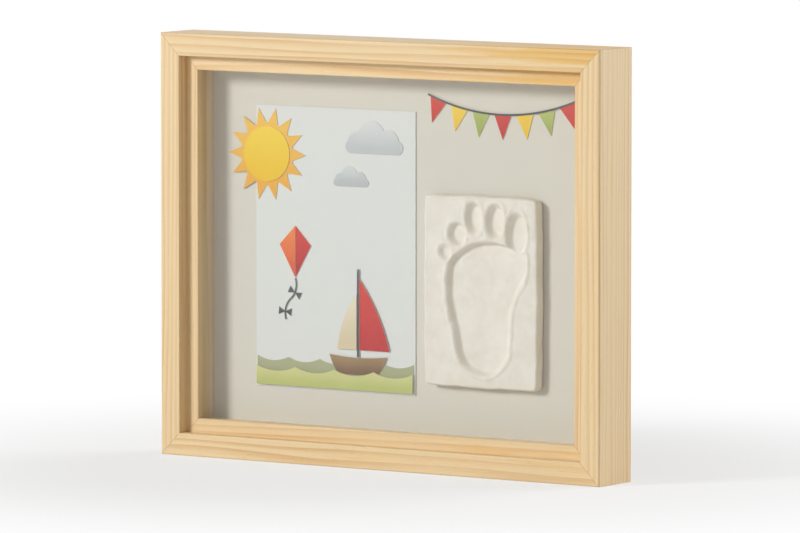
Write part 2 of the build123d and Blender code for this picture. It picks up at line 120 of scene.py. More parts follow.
@dataclass(frozen=True)
class Cloud:
    """A noise pattern.

    Attributes:
        scale: How many lumps to a metre, roughly.
        detail: How many finer layers it has.
        harsh: How strong the finer layers are.
        stretch: What each axis is multiplied by first, so that a small value makes long streaks.
    """

    scale: float
    detail: float = 2.0
    harsh: float = 0.5
    stretch: tuple[float, float, float] | None = None


class Graph:
    """Adds and links the nodes of one material, world or node group."""

    def __init__(self, tree: bpy.types.NodeTree) -> None:
        """Keeps the tree that the nodes go into."""
        self.tree = tree

    def feed(self, socket: Socket, value: Feed) -> None:
        """Links a socket to another one, or sets its value.

        Args:
            socket: The input.
            value: The output to link, or a number, colour or vector.
        """
        if isinstance(value, bpy.types.NodeSocket):
            self.tree.links.new(value, socket)
        elif isinstance(value, tuple) and socket.type == "RGBA":
            socket.default_value = (*value[:3], 1.0)
        else:
            socket.default_value = value

    def node(
        self, kind: str, inputs: dict[str, Feed] | None = None, **settings: object
    ) -> bpy.types.Node:
        """Adds one node.

        Args:
            kind: The node's type name.
            inputs: What its named inputs get.
            **settings: Its own settings.

        Returns:
            The node.
        """
        made = self.tree.nodes.new(kind)
        for name, value in settings.items():
            setattr(made, name, value)
        for name, value in (inputs or {}).items():
            self.feed(made.inputs[name], value)
        return made

    def math(self, operation: str, first: Feed, second: Feed = 0.0, clamp: bool = False) -> Socket:
        """Adds a Math node.

        Args:
            operation: What it does.
            first: Its first value.
            second: Its second value.
            clamp: Whether the result is kept from 0 to 1.

        Returns:
            Its result.
        """
        made = self.node("ShaderNodeMath", operation=operation, use_clamp=clamp)
        self.feed(made.inputs[0], first)
        self.feed(made.inputs[1], second)
        return made.outputs[0]

    def ease(self, value: Feed, low: float, high: float) -> Socket:
        """A value eased from 0 at low to 1 at high."""
        limits = {"From Min": low, "From Max": high, "Value": value}
        return self.node("ShaderNodeMapRange", limits, interpolation_type="SMOOTHSTEP").outputs[0]

    def spread(self, value: Feed, low: float, high: float) -> Socket:
        """A value from 0 to 1 spread between low and high."""
        limits = {"To Min": low, "To Max": high, "Value": value}
        return self.node("ShaderNodeMapRange", limits).outputs[0]

    def mix(self, share: Feed, first: Feed, second: Feed, blend: str = "MIX") -> Socket:
        """Mixes two colours.

        Args:
            share: How much of the second colour.
            first: The colour at 0.
            second: The colour at 1.
            blend: How the two blend.

        Returns:
            The mixed colour.
        """
        made = self.node("ShaderNodeMix", data_type="RGBA", blend_type=blend)
        for socket, value in zip(MIX_INPUTS, (share, first, second)):
            self.feed(made.inputs[socket], value)
        return made.outputs[MIX_RESULT]

    def scaled(self, place: Feed, factors: tuple[float, float, float]) -> Socket:
        """Multiplies each axis of a place.

        Args:
            place: The place.
            factors: What its X, Y and Z are multiplied by.

        Returns:
            The multiplied place.
        """
        made = self.node("ShaderNodeVectorMath", operation="MULTIPLY")
        self.feed(made.inputs[0], place)
        self.feed(made.inputs[1], factors)
        return made.outputs[0]

    def split(self, place: Feed) -> bpy.types.NodeOutputs:
        """A place's X, Y and Z."""
        return self.node("ShaderNodeSeparateXYZ", {"Vector": place}).outputs

    def length(self, place: Feed) -> Socket:
        """How far a place lies from the origin."""
        made = self.node("ShaderNodeVectorMath", {"Vector": place}, operation="LENGTH")
        return made.outputs["Value"]

    def cloud(self, place: Feed, pattern: Cloud) -> Socket:
        """Noise from 0 to 1.

        Args:
            place: Where it is read.
            pattern: Its pattern.

        Returns:
            The noise's value.
        """
        inputs = {
            "Vector": self.scaled(place, pattern.stretch) if pattern.stretch else place,
            "Scale": pattern.scale,
            "Detail": pattern.detail,
            "Roughness": pattern.harsh,
        }
        return self.node("ShaderNodeTexNoise", inputs).outputs["Fac"]

    def shaded(self, colour: Feed, shade: Socket) -> Socket:
        """A colour made lighter or darker by a factor."""
        grey = self.node("ShaderNodeCombineColor", {"Red": shade, "Green": shade, "Blue": shade})
        return self.mix(1.0, colour, grey.outputs[0], "MULTIPLY")

    def joined(self, share: Feed, first: Socket, second: Socket) -> Socket:
        """Mixes two shaders.

        Args:
            share: How much of the second one.
            first: The shader at 0.
            second: The shader at 1.

        Returns:
            The mixed shader.
        """
        made = self.node("ShaderNodeMixShader")
        for socket, value in zip(made.inputs, (share, first, second)):
            self.feed(socket, value)
        return made.outputs[0]

    def end(self, surface: Socket) -> None:
        """Makes a shader the surface of the material or the world."""
        last = next(node for node in self.tree.nodes if node.type.startswith("OUTPUT_"))
        self.feed(last.inputs["Surface"], surface)


class Effect:
    """A shader node group with named sockets, built once and placed in each material with it."""

    name = ""
    inputs: dict[str, str] = {}
    outputs: dict[str, str] = {}

    @classmethod
    def tree(cls) -> bpy.types.NodeTree:
        """Finds the group, or builds it the first time.

        Returns:
            The node group.
        """
        found = bpy.data.node_groups.get(cls.name)
        if found:
            return found
        made = bpy.data.node_groups.new(cls.name, "ShaderNodeTree")
        for name, kind in cls.inputs.items():
            made.interface.new_socket(name, in_out="INPUT", socket_type=f"NodeSocket{kind}")
        for name, kind in cls.outputs.items():
            made.interface.new_socket(name, in_out="OUTPUT", socket_type=f"NodeSocket{kind}")
        graph = Graph(made)
        given = graph.node("NodeGroupInput").outputs
        results = cls.build(graph, given)
        end = graph.node("NodeGroupOutput")
        for name, value in results.items():
            graph.feed(end.inputs[name], value)
        return made

    @classmethod
    def build(cls, graph: Graph, given: bpy.types.NodeOutputs) -> dict[str, Socket]:
        """Fills the group.

        Args:
            graph: The group's own graph.
            given: The group's inputs.

        Returns:
            What each output gets.
        """
        raise NotImplementedError

    @classmethod
    def place(cls, graph: Graph, **values: Feed) -> bpy.types.NodeOutputs:
        """Places the group in a material.

        Args:
            graph: The material's graph.
            **values: What its inputs get, with spaces in their names as underscores.

        Returns:
            The group's outputs.
        """
        made = graph.node("ShaderNodeGroup", node_tree=cls.tree())
        for name, value in values.items():
            graph.feed(made.inputs[name.replace("_", " ")], value)
        return made.outputs


class WoodGrain(Effect):
    """Softwood cut along its X: growth lines, golden streaks, fibres and resin flecks."""

    name = "wood_grain"
    inputs = {
        "Place": "Vector",
        "Pale": "Color",
        "Golden": "Color",
        "Late": "Color",
        "Gold Share": "Float",
        "Line Share": "Float",
    }
    outputs = {"Colour": "Color", "Roughness": "Float", "Height": "Float"}
    across = (0, 1, 1)
    line_pitch = 2.6 * MM
    line_rise = (0.3, 0.96)
    line_fall = (1.0, 0.96)
    line_height = 0.5
    wander = Cloud(55, stretch=(0.06, 1, 1))
    wander_reach = 9 * MM
    bold = Cloud(70, 1, stretch=(0.12, 1, 1))
    bold_range = (0.3, 0.7)
    bold_share = (0.35, 1.0)
    fibre = Cloud(2100, 2, 0.6, (0.02, 1, 1))
    fibre_shade = (0.9, 1.06)
    fleck = Cloud(3300, 1, stretch=(0.07, 1, 1))
    fleck_range = (0.66, 0.74)
    fleck_share = 0.32
    streak = Cloud(190, 3, 0.6, (0.05, 1, 1))
    gold_range = (0.6, 0.92)
    roughness = (0.4, 0.58)

    @classmethod
    def build(cls, graph: Graph, given: bpy.types.NodeOutputs) -> dict[str, Socket]:
        """Draws the growth lines, streaks, fibres and flecks.

        Args:
            graph: The group's own graph.
            given: The group's inputs.

        Returns:
            What each output gets.
        """
        place = given["Place"]
        wander = graph.math("SUBTRACT", graph.cloud(place, cls.wander), 0.5)
        reach = graph.length(graph.scaled(place, cls.across))
        reach = graph.math("ADD", reach, graph.math("MULTIPLY", wander, cls.wander_reach))
        phase = graph.math("FRACT", graph.math("DIVIDE", reach, cls.line_pitch))
        rise, fall = graph.ease(phase, *cls.line_rise), graph.ease(phase, *cls.line_fall)
        line = graph.math("MULTIPLY", rise, fall)
        bold = graph.ease(graph.cloud(place, cls.bold), *cls.bold_range)
        line = graph.math("MULTIPLY", line, graph.spread(bold, *cls.bold_share))
        fibre = graph.cloud(place, cls.fibre)
        fleck = graph.ease(graph.cloud(place, cls.fleck), *cls.fleck_range)
        gold = graph.math("ADD", graph.cloud(place, cls.streak), given["Gold Share"])
        colour = graph.mix(graph.ease(gold, *cls.gold_range), given["Pale"], given["Golden"])
        colour = graph.mix(graph.math("MULTIPLY", line, given["Line Share"]), colour, given["Late"])
        colour = graph.shaded(colour, graph.spread(fibre, *cls.fibre_shade))
        colour = graph.mix(graph.math("MULTIPLY", fleck, cls.fleck_share), colour, given["Late"])
        return {
            "Colour": colour,
            "Roughness": graph.spread(fibre, *cls.roughness),
            "Height": graph.math("ADD", fibre, graph.math("MULTIPLY", line, cls.line_height)),
        }


class PaperFibre(Effect):
    """Uncoated paper or card: a wash of a second colour, cloudy mottling and short fibres."""

    name = "paper_fibre"
    inputs = {"Place": "Vector", "Colour": "Color", "Shade": "Color", "Wash": "Float"}
    outputs = {"Colour": "Color", "Roughness": "Float", "Height": "Float"}
    mottle = Cloud(90, 3, 0.6)
    mottle_share = 0.5
    fine = Cloud(1500, 3, 0.65)
    fine_shade = (0.955, 1.035)
    fibre = Cloud(900, 2, 0.7, (1, 1, 3.5))
    fibre_range = (0.62, 0.8)
    fibre_share = 0.12
    roughness = (0.82, 0.96)

    @classmethod
    def build(cls, graph: Graph, given: bpy.types.NodeOutputs) -> dict[str, Socket]:
        """Draws the wash, the mottling and the fibres.

        Args:
            graph: The group's own graph.
            given: The group's inputs.

        Returns:
            What each output gets.
        """
        place = given["Place"]
        mottle = graph.math("SUBTRACT", graph.cloud(place, cls.mottle), 0.5)
        mottle = graph.math("MULTIPLY", mottle, cls.mottle_share)
        fine = graph.cloud(place, cls.fine)
        fibre = graph.ease(graph.cloud(place, cls.fibre), *cls.fibre_range)
        wash = graph.math("ADD", given["Wash"], mottle, clamp=True)
        colour = graph.mix(wash, given["Colour"], given["Shade"])
        colour = graph.shaded(colour, graph.spread(fine, *cls.fine_shade))
        colour = graph.mix(graph.math("MULTIPLY", fibre, cls.fibre_share), colour, given["Shade"])
        return {
            "Colour": colour,
            "Roughness": graph.spread(fine, *cls.roughness),
            "Height": graph.math("ADD", fine, fibre),
        }


class SheetWear(Effect):
    """Plated sheet or wire: brushed streaks, cloudy plating and fine handling marks."""

    name = "sheet_wear"
    inputs = {"Place": "Vector", "Bright": "Color", "Dull": "Color"}
    outputs = {"Colour": "Color", "Roughness": "Float", "Height": "Float"}
    blot = Cloud(420, 3, 0.6)
    blot_share = 0.7
    blot_roughness = 0.14
    streak = Cloud(3600, 2, 0.6, (1, 1, 0.08))
    streak_roughness = (0.2, 0.38)
    mark = Cloud(2600, 1, stretch=(0.12, 1, 1))
    mark_range = (0.68, 0.78)
    mark_share = 0.4
    mark_depth = 0.3

    @classmethod
    def build(cls, graph: Graph, given: bpy.types.NodeOutputs) -> dict[str, Socket]:
        """Draws the streaks, the blots and the marks.

        Args:
            graph: The group's own graph.
            given: The group's inputs.

        Returns:
            What each output gets.
        """
        place = given["Place"]
        blot = graph.cloud(place, cls.blot)
        streak = graph.cloud(place, cls.streak)
        mark = graph.ease(graph.cloud(place, cls.mark), *cls.mark_range)
        blotted = graph.math("MULTIPLY", blot, cls.blot_share)
        dull = graph.math("ADD", blotted, graph.math("MULTIPLY", mark, cls.mark_share), clamp=True)
        rough = graph.spread(streak, *cls.streak_roughness)
        return {
            "Colour": graph.mix(dull, given["Bright"], given["Dull"]),
            "Roughness": graph.math("ADD", rough, graph.math("MULTIPLY", blot, cls.blot_roughness)),
            "Height": graph.math("SUBTRACT", streak, graph.math("MULTIPLY", mark, cls.mark_depth)),
        }


@dataclass(frozen=True)
class Finish:
    """A surface.

    Attributes:
        name: The material's name.
        relief: How deep the bump is, in metres.
        shine: The shader's specular level.
    """

    name: str
    relief: float = 0.02 * MM
    shine: float = 0.5

    def start(self) -> tuple[bpy.types.Material, Graph, bpy.types.Node, Socket]:
        """Makes an empty material.

        Returns:
            The material, its graph, its shader and the place on the object that patterns read.
        """
        material = bpy.data.materials.new(self.name)
        material.use_nodes = True
        graph = Graph(material.node_tree)
        shader = material.node_tree.nodes["Principled BSDF"]
        shader.inputs["Specular IOR Level"].default_value = self.shine
        place = graph.node("ShaderNodeTexCoord").outputs["Object"]
        return material, graph, shader, place

    def wear(self, graph: Graph, shader: bpy.types.Node, results: bpy.types.NodeOutputs) -> None:
        """Feeds a shader from an effect's colour, roughness and height.

        Args:
            graph: The material's graph.
            shader: The Principled shader.
            results: The effect's outputs.
        """
        graph.feed(shader.inputs["Base Color"], results["Colour"])
        graph.feed(shader.inputs["Roughness"], results["Roughness"])
        self.bump(graph, shader, results["Height"])

    def bump(self, graph: Graph, shader: bpy.types.Node, height: Socket) -> None:
        """Lets a height roughen the shader's normal."""
        inputs = {"Height": height, "Distance": self.relief, "Strength": 1.0}
        graph.feed(shader.inputs["Normal"], graph.node("ShaderNodeBump", inputs).outputs["Normal"])

    def material(self) -> bpy.types.Material:
        """Makes the material."""
        raise NotImplementedError


@dataclass(frozen=True)
class PineFinish(Finish):
    """Satin pine of one rail, with the dark hairline of its mitres.

    Attributes:
        shine: The shader's specular level.
        grain: Which way the rail runs.
        pale: The wood between the growth lines.
        golden: The wood in the golden streaks.
        late: The growth lines.
        heart: Where the tree's heart lies from the rail, so that its lines curve about it.
        gold_from: Where along the rail the golden streaks begin, in metres.
        gold_to: Where they are strongest.
        gold_share: How strong they are there.
        line_share: How dark the growth lines are.
        outline: The frame's half width and its height, where its mitres run.
        mitre_width: How wide the hairline at a mitre is.
        mitre_share: How dark it is.
        mitre: Its colour.
        coat: How strong the varnish is.
        coat_roughness: How rough it is.
    """

    shine: float = 0.35
    grain: Grain = Grain.ACROSS
    pale: Colour = tint(239, 212, 166)
    golden: Colour = tint(234, 190, 112)
    late: Colour = tint(205, 148, 76)
    heart: tuple[float, float] = (0.03, 0.05)
    gold_from: float = 0.0
    gold_to: float = 0.1
    gold_share: float = 0.35
    line_share: float = 0.45
    outline: tuple[float, float] = (0.1375, 0.223)
    mitre_width: float = 0.22 * MM
    mitre_share: float = 0.6
    mitre: Colour = tint(120, 80, 42)
    coat: float = 0.12
    coat_roughness: float = 0.35

    def material(self) -> bpy.types.Material:
        """Makes the material.

        Returns:
            The material.
        """
        material, graph, shader, place = self.start()
        split = graph.split(place)
        along, over = ("X", "Z") if self.grain is Grain.ACROSS else ("Z", "X")
        depth = graph.math("ADD", split["Y"], self.heart[0])
        across = graph.math("ADD", split[over], self.heart[1])
        cut = graph.node("ShaderNodeCombineXYZ", {"X": split[along], "Y": depth, "Z": across})
        gold = graph.ease(split[along], self.gold_from, self.gold_to)
        wood = WoodGrain.place(
            graph,
            Place=cut.outputs[0],
            Pale=self.pale,
            Golden=self.golden,
            Late=self.late,
            Gold_Share=graph.math("MULTIPLY", gold, self.gold_share),
            Line_Share=self.line_share,
        )
        self.wear(graph, shader, wood)
        joint = self.mitre_line(graph, split)
        graph.feed(shader.inputs["Base Color"], graph.mix(joint, wood["Colour"], self.mitre))
        shader.inputs["Coat Weight"].default_value = self.coat
        shader.inputs["Coat Roughness"].default_value = self.coat_roughness
        return material

    def mitre_line(self, graph: Graph, split: bpy.types.NodeOutputs) -> Socket:
        """Where the frame's mitres run.

        Args:
            graph: The material's graph.
            split: The X, Y and Z of each place.

        Returns:
            How dark their hairline is there.
        """
        half_width, height = self.outline
        from_side = graph.math("SUBTRACT", half_width, graph.math("ABSOLUTE", split["X"]))
        from_end = graph.math("MINIMUM", split["Z"], graph.math("SUBTRACT", height, split["Z"]))
        gap = graph.math("ABSOLUTE", graph.math("SUBTRACT", from_side, from_end))
        return graph.math("MULTIPLY", graph.ease(gap, self.mitre_width, 0.0), self.mitre_share)


@dataclass(frozen=True)
class PaperFinish(Finish):
    """Paper or card with a wash from one colour to another.

    Attributes:
        relief: How deep the bump is, in metres.
        shine: The shader's specular level.
        colour: The colour at the foot of the wash.
        shade: The colour at its head.
        wash_from: Where the wash begins, up the frame, in metres.
        wash_to: Where it ends.
        core: The colour inside the sheet, which its cut edges show.
        core_share: How strongly they show it.
        core_turn: How little of a face looks to the front where it is a cut edge.
    """

    relief: float = 0.03 * MM
    shine: float = 0.2
    colour: Colour = tint(218, 219, 214)
    shade: Colour = tint(200, 200, 196)
    wash_from: float = 0.0
    wash_to: float = 1.0
    core: Colour = tint(238, 234, 224)
    core_share: float = 0.7
    core_turn: float = 0.5

    def material(self) -> bpy.types.Material:
        """Makes the material.

        Returns:
            The material.
        """
        material, graph, shader, place = self.start()
        wash = graph.ease(graph.split(place)["Z"], self.wash_from, self.wash_to)
        colours = {"Colour": self.colour, "Shade": self.shade}
        paper = PaperFibre.place(graph, Place=place, Wash=wash, **colours)
        self.wear(graph, shader, paper)
        normal = graph.split(graph.node("ShaderNodeNewGeometry").outputs["Normal"])
        cut = graph.math("LESS_THAN", graph.math("ABSOLUTE", normal["Y"]), self.core_turn)
        cut = graph.math("MULTIPLY", cut, self.core_share)
        graph.feed(shader.inputs["Base Color"], graph.mix(cut, paper["Colour"], self.core))
        return material


@dataclass(frozen=True)
class ClayFinish(Finish):
    """Air dried clay: chalky, faintly mottled, with fine grit and small pits.

    Attributes:
        relief: How deep the bump is, in metres.
        shine: The shader's specular level.
        colour: The clay.
        shade: Its mottling.
        mottle_cloud: The mottling's pattern.
        mottle_range: Where in that it begins and is at its full strength.
        grit_cloud: The grit's pattern.
        roughness: The clay's least and most roughness.
        pit_shade: The pits.
        pit_cloud: Their pattern.
        pit_range: Where in that they begin and are at their full strength.
        pit_shade_share: How dark they are.
        pit_depth: How deep they are, next to the grit.
    """

    relief: float = 0.1 * MM
    shine: float = 0.3
    colour: Colour = tint(241, 235, 223)
    shade: Colour = tint(235, 227, 212)
    mottle_cloud: Cloud = Cloud(120, 3, 0.6)
    mottle_range: tuple[float, float] = (0.3, 0.75)
    grit_cloud: Cloud = Cloud(1900, 4, 0.7)
    roughness: tuple[float, float] = (0.78, 0.95)
    # pit: The painted shade in the pits.
    pit_shade: Colour = tint(196, 182, 160)
    pit_cloud: Cloud = Cloud(900, 2, 0.6)
    pit_range: tuple[float, float] = (0.66, 0.78)
    # pit_shade_share: How strong the painted shade in the pits is.
    pit_shade_share: float = 0.25
    pit_depth: float = 1.5

    def material(self) -> bpy.types.Material:
        """Makes the material.

        Returns:
            The material.
        """
        material, graph, shader, place = self.start()
        mottle = graph.ease(graph.cloud(place, self.mottle_cloud), *self.mottle_range)
        grit = graph.cloud(place, self.grit_cloud)
        pits = graph.ease(graph.cloud(place, self.pit_cloud), *self.pit_range)
        colour = graph.mix(mottle, self.colour, self.shade)
        # The pits are painted darker with the pit colour: painted shade in the hollows.
        colour = graph.mix(graph.math("MULTIPLY", pits, self.pit_shade_share), colour, self.pit_shade)
        graph.feed(shader.inputs["Base Color"], colour)
        graph.feed(shader.inputs["Roughness"], graph.spread(grit, *self.roughness))
        hollow = graph.math("MULTIPLY", pits, self.pit_depth)
        self.bump(graph, shader, graph.math("SUBTRACT", grit, hollow))
        return material


@dataclass(frozen=True)
class BoardFinish(Finish):
    """Thin fibreboard: smooth brown, with pale specks.

    Attributes:
        relief: How deep the bump is, in metres.
        colour: The board.
        shade: Its mottling.
        wash: How much of that it has on the whole.
        speck: The specks.
        speck_share: How strong they are.
        speck_cloud: Their pattern.
        speck_range: Where in that they begin and are at their full strength.
    """

    relief: float = 0.03 * MM
    colour: Colour = tint(168, 128, 88)
    shade: Colour = tint(140, 102, 66)
    wash: float = 0.35
    speck: Colour = tint(196, 160, 118)
    speck_share: float = 0.5
    speck_cloud: Cloud = Cloud(1500, 2, 0.8)
    speck_range: tuple[float, float] = (0.56, 0.74)

    def material(self) -> bpy.types.Material:
        """Makes the material.

        Returns:
            The material.
        """
        material, graph, shader, place = self.start()
        colours = {"Colour": self.colour, "Shade": self.shade}
        board = PaperFibre.place(graph, Place=place, Wash=self.wash, **colours)
        self.wear(graph, shader, board)
        specks = graph.ease(graph.cloud(place, self.speck_cloud), *self.speck_range)
        specks = graph.math("MULTIPLY", specks, self.speck_share)
        graph.feed(shader.inputs["Base Color"], graph.mix(specks, board["Colour"], self.speck))
        return material


@dataclass(frozen=True)
class SteelFinish(Finish):
    """Plated or bare steel sheet and wire.

    Attributes:
        relief: How deep the bump is, in metres.
        bright: Clean metal.
        dull: Metal with blots and marks.
    """

    relief: float = 0.008 * MM
    bright: Colour = tint(205, 207, 208)
    dull: Colour = tint(168, 170, 170)

    def material(self) -> bpy.types.Material:
        """Makes the material.

        Returns:
            The material.
        """
        material, graph, shader, place = self.start()
        shader.inputs["Metallic"].default_value = 1.0
        sheet = SheetWear.place(graph, Place=place, Bright=self.bright, Dull=self.dull)
        self.wear(graph, shader, sheet)
        return material


@dataclass(frozen=True)
class GlassFinish(Finish):
    """Clear picture glass that lets the lamps through.

    Attributes:
        shine: The shader's specular level.
        seen: The tint that the camera sees it with.
        lit: The tint that the lamps' light gets.
        bending: Its index of refraction.
        rays: The rays that pass it as light does.
    """

    shine: float = 0.25
    seen: Colour = (0.988, 0.994, 0.991)
    lit: Colour = (0.965, 0.972, 0.969)
    bending: float = 1.45
    rays: tuple[str, ...] = ("Is Shadow Ray", "Is Diffuse Ray")

    def material(self) -> bpy.types.Material:
        """Makes the material.

        Returns:
            The material.
        """
        material, graph, shader, _ = self.start()
        graph.feed(shader.inputs["Base Color"], self.seen)
        shader.inputs["Roughness"].default_value = 0.0
        shader.inputs["IOR"].default_value = self.bending
        shader.inputs["Transmission Weight"].default_value = 1.0
        path = graph.node("ShaderNodeLightPath").outputs
        clear = graph.node("ShaderNodeBsdfTransparent", {"Color": self.lit}).outputs[0]
        surface = shader.outputs[0]
        for ray in self.rays:
            surface = graph.joined(path[ray], surface, clear)
        graph.end(surface)
        return material


def show(name: str, data: bpy.types.ID) -> bpy.types.Object:
    """Adds an object to the scene.

    Args:
        name: Its name.
        data: Its mesh, light or camera.

    Returns:
        The object.
    """
    made = bpy.data.objects.new(name, data)
    bpy.context.scene.collection.objects.link(made)
    return made


def dress(node: str, material: bpy.types.Material) -> None:
    """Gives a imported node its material.

    Args:
        node: The node's name.
        material: Its finish.
    """
    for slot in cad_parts[node].material_slots:
        slot.material = material
    LOG.info("%s wears %s", node, material.name)


def bridge(first: list[int], second: list[int]) -> list[tuple[int, ...]]:
    """Joins two closed rings of as many points with quads.

    Args:
        first: The first ring's point numbers.
        second: The second ring's, in the same order.

    Returns:
        The quads.
    """
    after = zip(first[1:] + first[:1], second[1:] + second[:1])
    return [(a, next_a, next_b, b) for a, b, (next_a, next_b) in zip(first, second, after)]


def perimeter(number: np.ndarray) -> list[int]:
    """The numbers round the edge of a grid of points, in order."""
    around = [*number[0, :-1], *number[:-1, -1], *number[-1, :0:-1], *number[:0:-1, 0]]
    return [int(one) for one in around]


def grid_faces(number: np.ndarray) -> list[tuple[int, ...]]:
    """The quads of a grid of points."""
    around = (number[:-1, :-1], number[:-1, 1:], number[1:, 1:], number[1:, :-1])
    return [tuple(quad) for quad in np.stack(around, axis=-1).reshape(-1, 4).tolist()]


class Skin:
    """Gathers the rings of points and the faces of one piece."""

    def __init__(self) -> None:
        """Starts with nothing."""
        self.points: list[Vector] = []
        self.faces: list[tuple[int, ...]] = []

    def ring(self, places: Iterable[Iterable[float]], seat: Matrix | None = None) -> list[int]:
        """Adds points.

        Args:
            places: Where they are.
            seat: The seat that they are placed on, if any.

        Returns:
            Their numbers.
        """
        start = len(self.points)
        for place in places:
            point = Vector(place)
            self.points.append(seat @ point if seat else point)
        return list(range(start, len(self.points)))

    def loft(self, rings: list[list[int]], closed: bool = False) -> None:
        """Joins each ring to the next one.

        Args:
            rings: The rings, with as many points each.
            closed: Whether the last one is joined to the first.
        """
        follow = rings[1:] + rings[:1] if closed else rings[1:]
        for first, second in zip(rings, follow):
            self.faces += bridge(first, second)

    def cap(self, ring: list[int]) -> None:
        """Closes a ring with one face."""
        self.faces.append(tuple(ring))

    def piece(
        self, name: str, material: bpy.types.Material, body: str, slot: str, stands_for: str
    ) -> None:
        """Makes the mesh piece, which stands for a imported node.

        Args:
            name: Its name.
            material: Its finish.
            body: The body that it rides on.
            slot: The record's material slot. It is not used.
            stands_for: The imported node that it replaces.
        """
        mesh = bpy.data.meshes.new(name)
        mesh.from_pydata([tuple(point) for point in self.points], [], self.faces)
        work = bmesh.new()
        work.from_mesh(mesh)
        bmesh.ops.recalc_face_normals(work, faces=work.faces)
        work.to_mesh(mesh)
        work.free()
        mesh.polygons.foreach_set("use_smooth", [True] * len(mesh.polygons))
        mesh.set_sharp_from_angle(angle=SHARP)
        mesh.materials.append(material)
        piece = show(name, mesh)
        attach(piece, body)
        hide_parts(stands_for)
        LOG.info("%s: %d faces, rides on %s", name, len(self.faces), body)


@dataclass
class WoodenFrame:
    """The four mitred pine rails and the nails across their corners.

    Attributes:
        rails: Each rail's finish, since each is its own cut of wood.
        nails: The nails' finish.
    """

    rails: tuple[PineFinish, ...] = (
        PineFinish(
            "pine_top",
            heart=(0.055, -0.19),
            gold_from=-0.03,
            gold_share=0.3,
            line_share=0.6,
        ),
        PineFinish(
            "pine_bottom",
            heart=(0.06, 0.03),
            gold_from=-0.06,
            gold_to=0.06,
            gold_share=0.08,
            line_share=0.52,
        ),
        PineFinish(
            "pine_left",
            grain=Grain.UPRIGHT,
            heart=(0.045, 0.19),
            gold_share=0.0,
            line_share=0.46,
        ),
        PineFinish(
            "pine_right",
            grain=Grain.UPRIGHT,
            heart=(0.05, -0.1),
            gold_share=0.0,
            line_share=0.42,
        ),
    )
    nails: SteelFinish = SteelFinish(
        "nail_steel", bright=tint(150, 152, 154), dull=tint(110, 110, 108)
    )

    def build(self) -> None:
        """Dresses the rails and the nails."""
        low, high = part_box("rail_top")
        outline = ((high.x - low.x) / 2, high.z)
        for finish in self.rails:
            dress(finish.name.replace("pine", "rail"), replace(finish, outline=outline).material())
        dress("corner_nails", self.nails.material())


@dataclass
class Pane:
    """The glass and the wooden strips that keep the mat off it.

    Attributes:
        glass: The glass's finish.
        strip: The strips' finish, as those that lie across have it.
    """

    glass: GlassFinish = GlassFinish("picture_glass")
    strip: PineFinish = PineFinish(
        "spacer_wood",
        pale=tint(228, 204, 164),
        golden=tint(222, 186, 130),
        late=tint(190, 148, 96),
        heart=(0.05, 0.02),
        gold_share=0.1,
        line_share=0.35,
    )

    def build(self) -> None:
        """Dresses the glass and the spacer strips."""
        dress("glass_pane", self.glass.material())
        for side in Side:
            node = f"spacer_{side.name.lower()}"
            grain = Grain.ACROSS if side in (Side.TOP, Side.BOTTOM) else Grain.UPRIGHT
            dress(node, replace(self.strip, name=f"{node}_wood", grain=grain).material())


@dataclass
class CardMount:
    """The mat board, the photo card on it and what holds them.

    Attributes:
        mat: The mat's finish.
        card: The photo card's.
        tape: The double sided tapes'.
        foam: The foam pads'.
    """

    mat: PaperFinish = PaperFinish(
        "mat_card", colour=tint(222, 217, 204), shade=tint(216, 210, 195)
    )
    card: PaperFinish = PaperFinish(
        "photo_card", colour=tint(228, 229, 225), shade=tint(222, 222, 217)
    )
    tape: PaperFinish = PaperFinish(
        "tissue_tape", colour=tint(232, 224, 200), shade=tint(220, 208, 178)
    )
    foam: PaperFinish = PaperFinish(
        "foam_pad", colour=tint(238, 238, 236), shade=tint(226, 226, 224)
    )

    def build(self) -> None:
        """Dresses the mat, the card, the tapes and the pads."""
        dress("mat_board", self.mat.material())
        dress("photo_card", self.card.material())
        dress("card_tapes", self.tape.material())
        dress("slab_pads", self.foam.material())


@dataclass
class PaperScene:
    """The paper cut-outs on the card and the mat.

    Attributes:
        papers: Each cut-out with the colours at its foot and its head.
    """

    papers: tuple[tuple[str, Colour, Colour], ...] = (
        ("sun_disc", tint(244, 198, 24), tint(250, 214, 60)),
        ("sun_rays", tint(240, 176, 58), tint(246, 196, 84)),
        ("cloud_large", tint(196, 200, 200), tint(222, 224, 224)),
        ("cloud_small", tint(188, 193, 194), tint(214, 217, 217)),
        ("kite_left", tint(226, 92, 44), tint(244, 132, 62)),
        ("kite_right", tint(184, 32, 36), tint(214, 62, 50)),
        ("kite_tail", tint(70, 72, 76), tint(92, 92, 94)),
        ("wave_far", tint(158, 160, 120), tint(176, 178, 138)),
        ("wave_near", tint(190, 196, 112), tint(214, 214, 146)),
        ("boat_hull", tint(122, 92, 62), tint(164, 132, 92)),
        ("boat_mast", tint(66, 66, 70), tint(88, 86, 86)),
        ("sail_main", tint(196, 40, 42), tint(216, 66, 56)),
        ("sail_fore", tint(222, 206, 170), tint(236, 224, 196)),
        ("flags_red", tint(198, 48, 44), tint(214, 74, 60)),
        ("flags_yellow", tint(240, 194, 40), tint(246, 208, 76)),
        ("flags_green", tint(158, 172, 84), tint(184, 194, 110)),
        ("bunting_cord", tint(84, 84, 86), tint(104, 102, 100)),
    )

    def build(self) -> None:
        """Dresses each cut-out with its own paper."""
        for name, colour, shade in self.papers:
            node = f"cutout_{name}"
            low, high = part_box(node)
            finish = PaperFinish(
                f"paper_{name}", colour=colour, shade=shade, wash_from=low.z, wash_to=high.z
            )
            dress(node, finish.material())


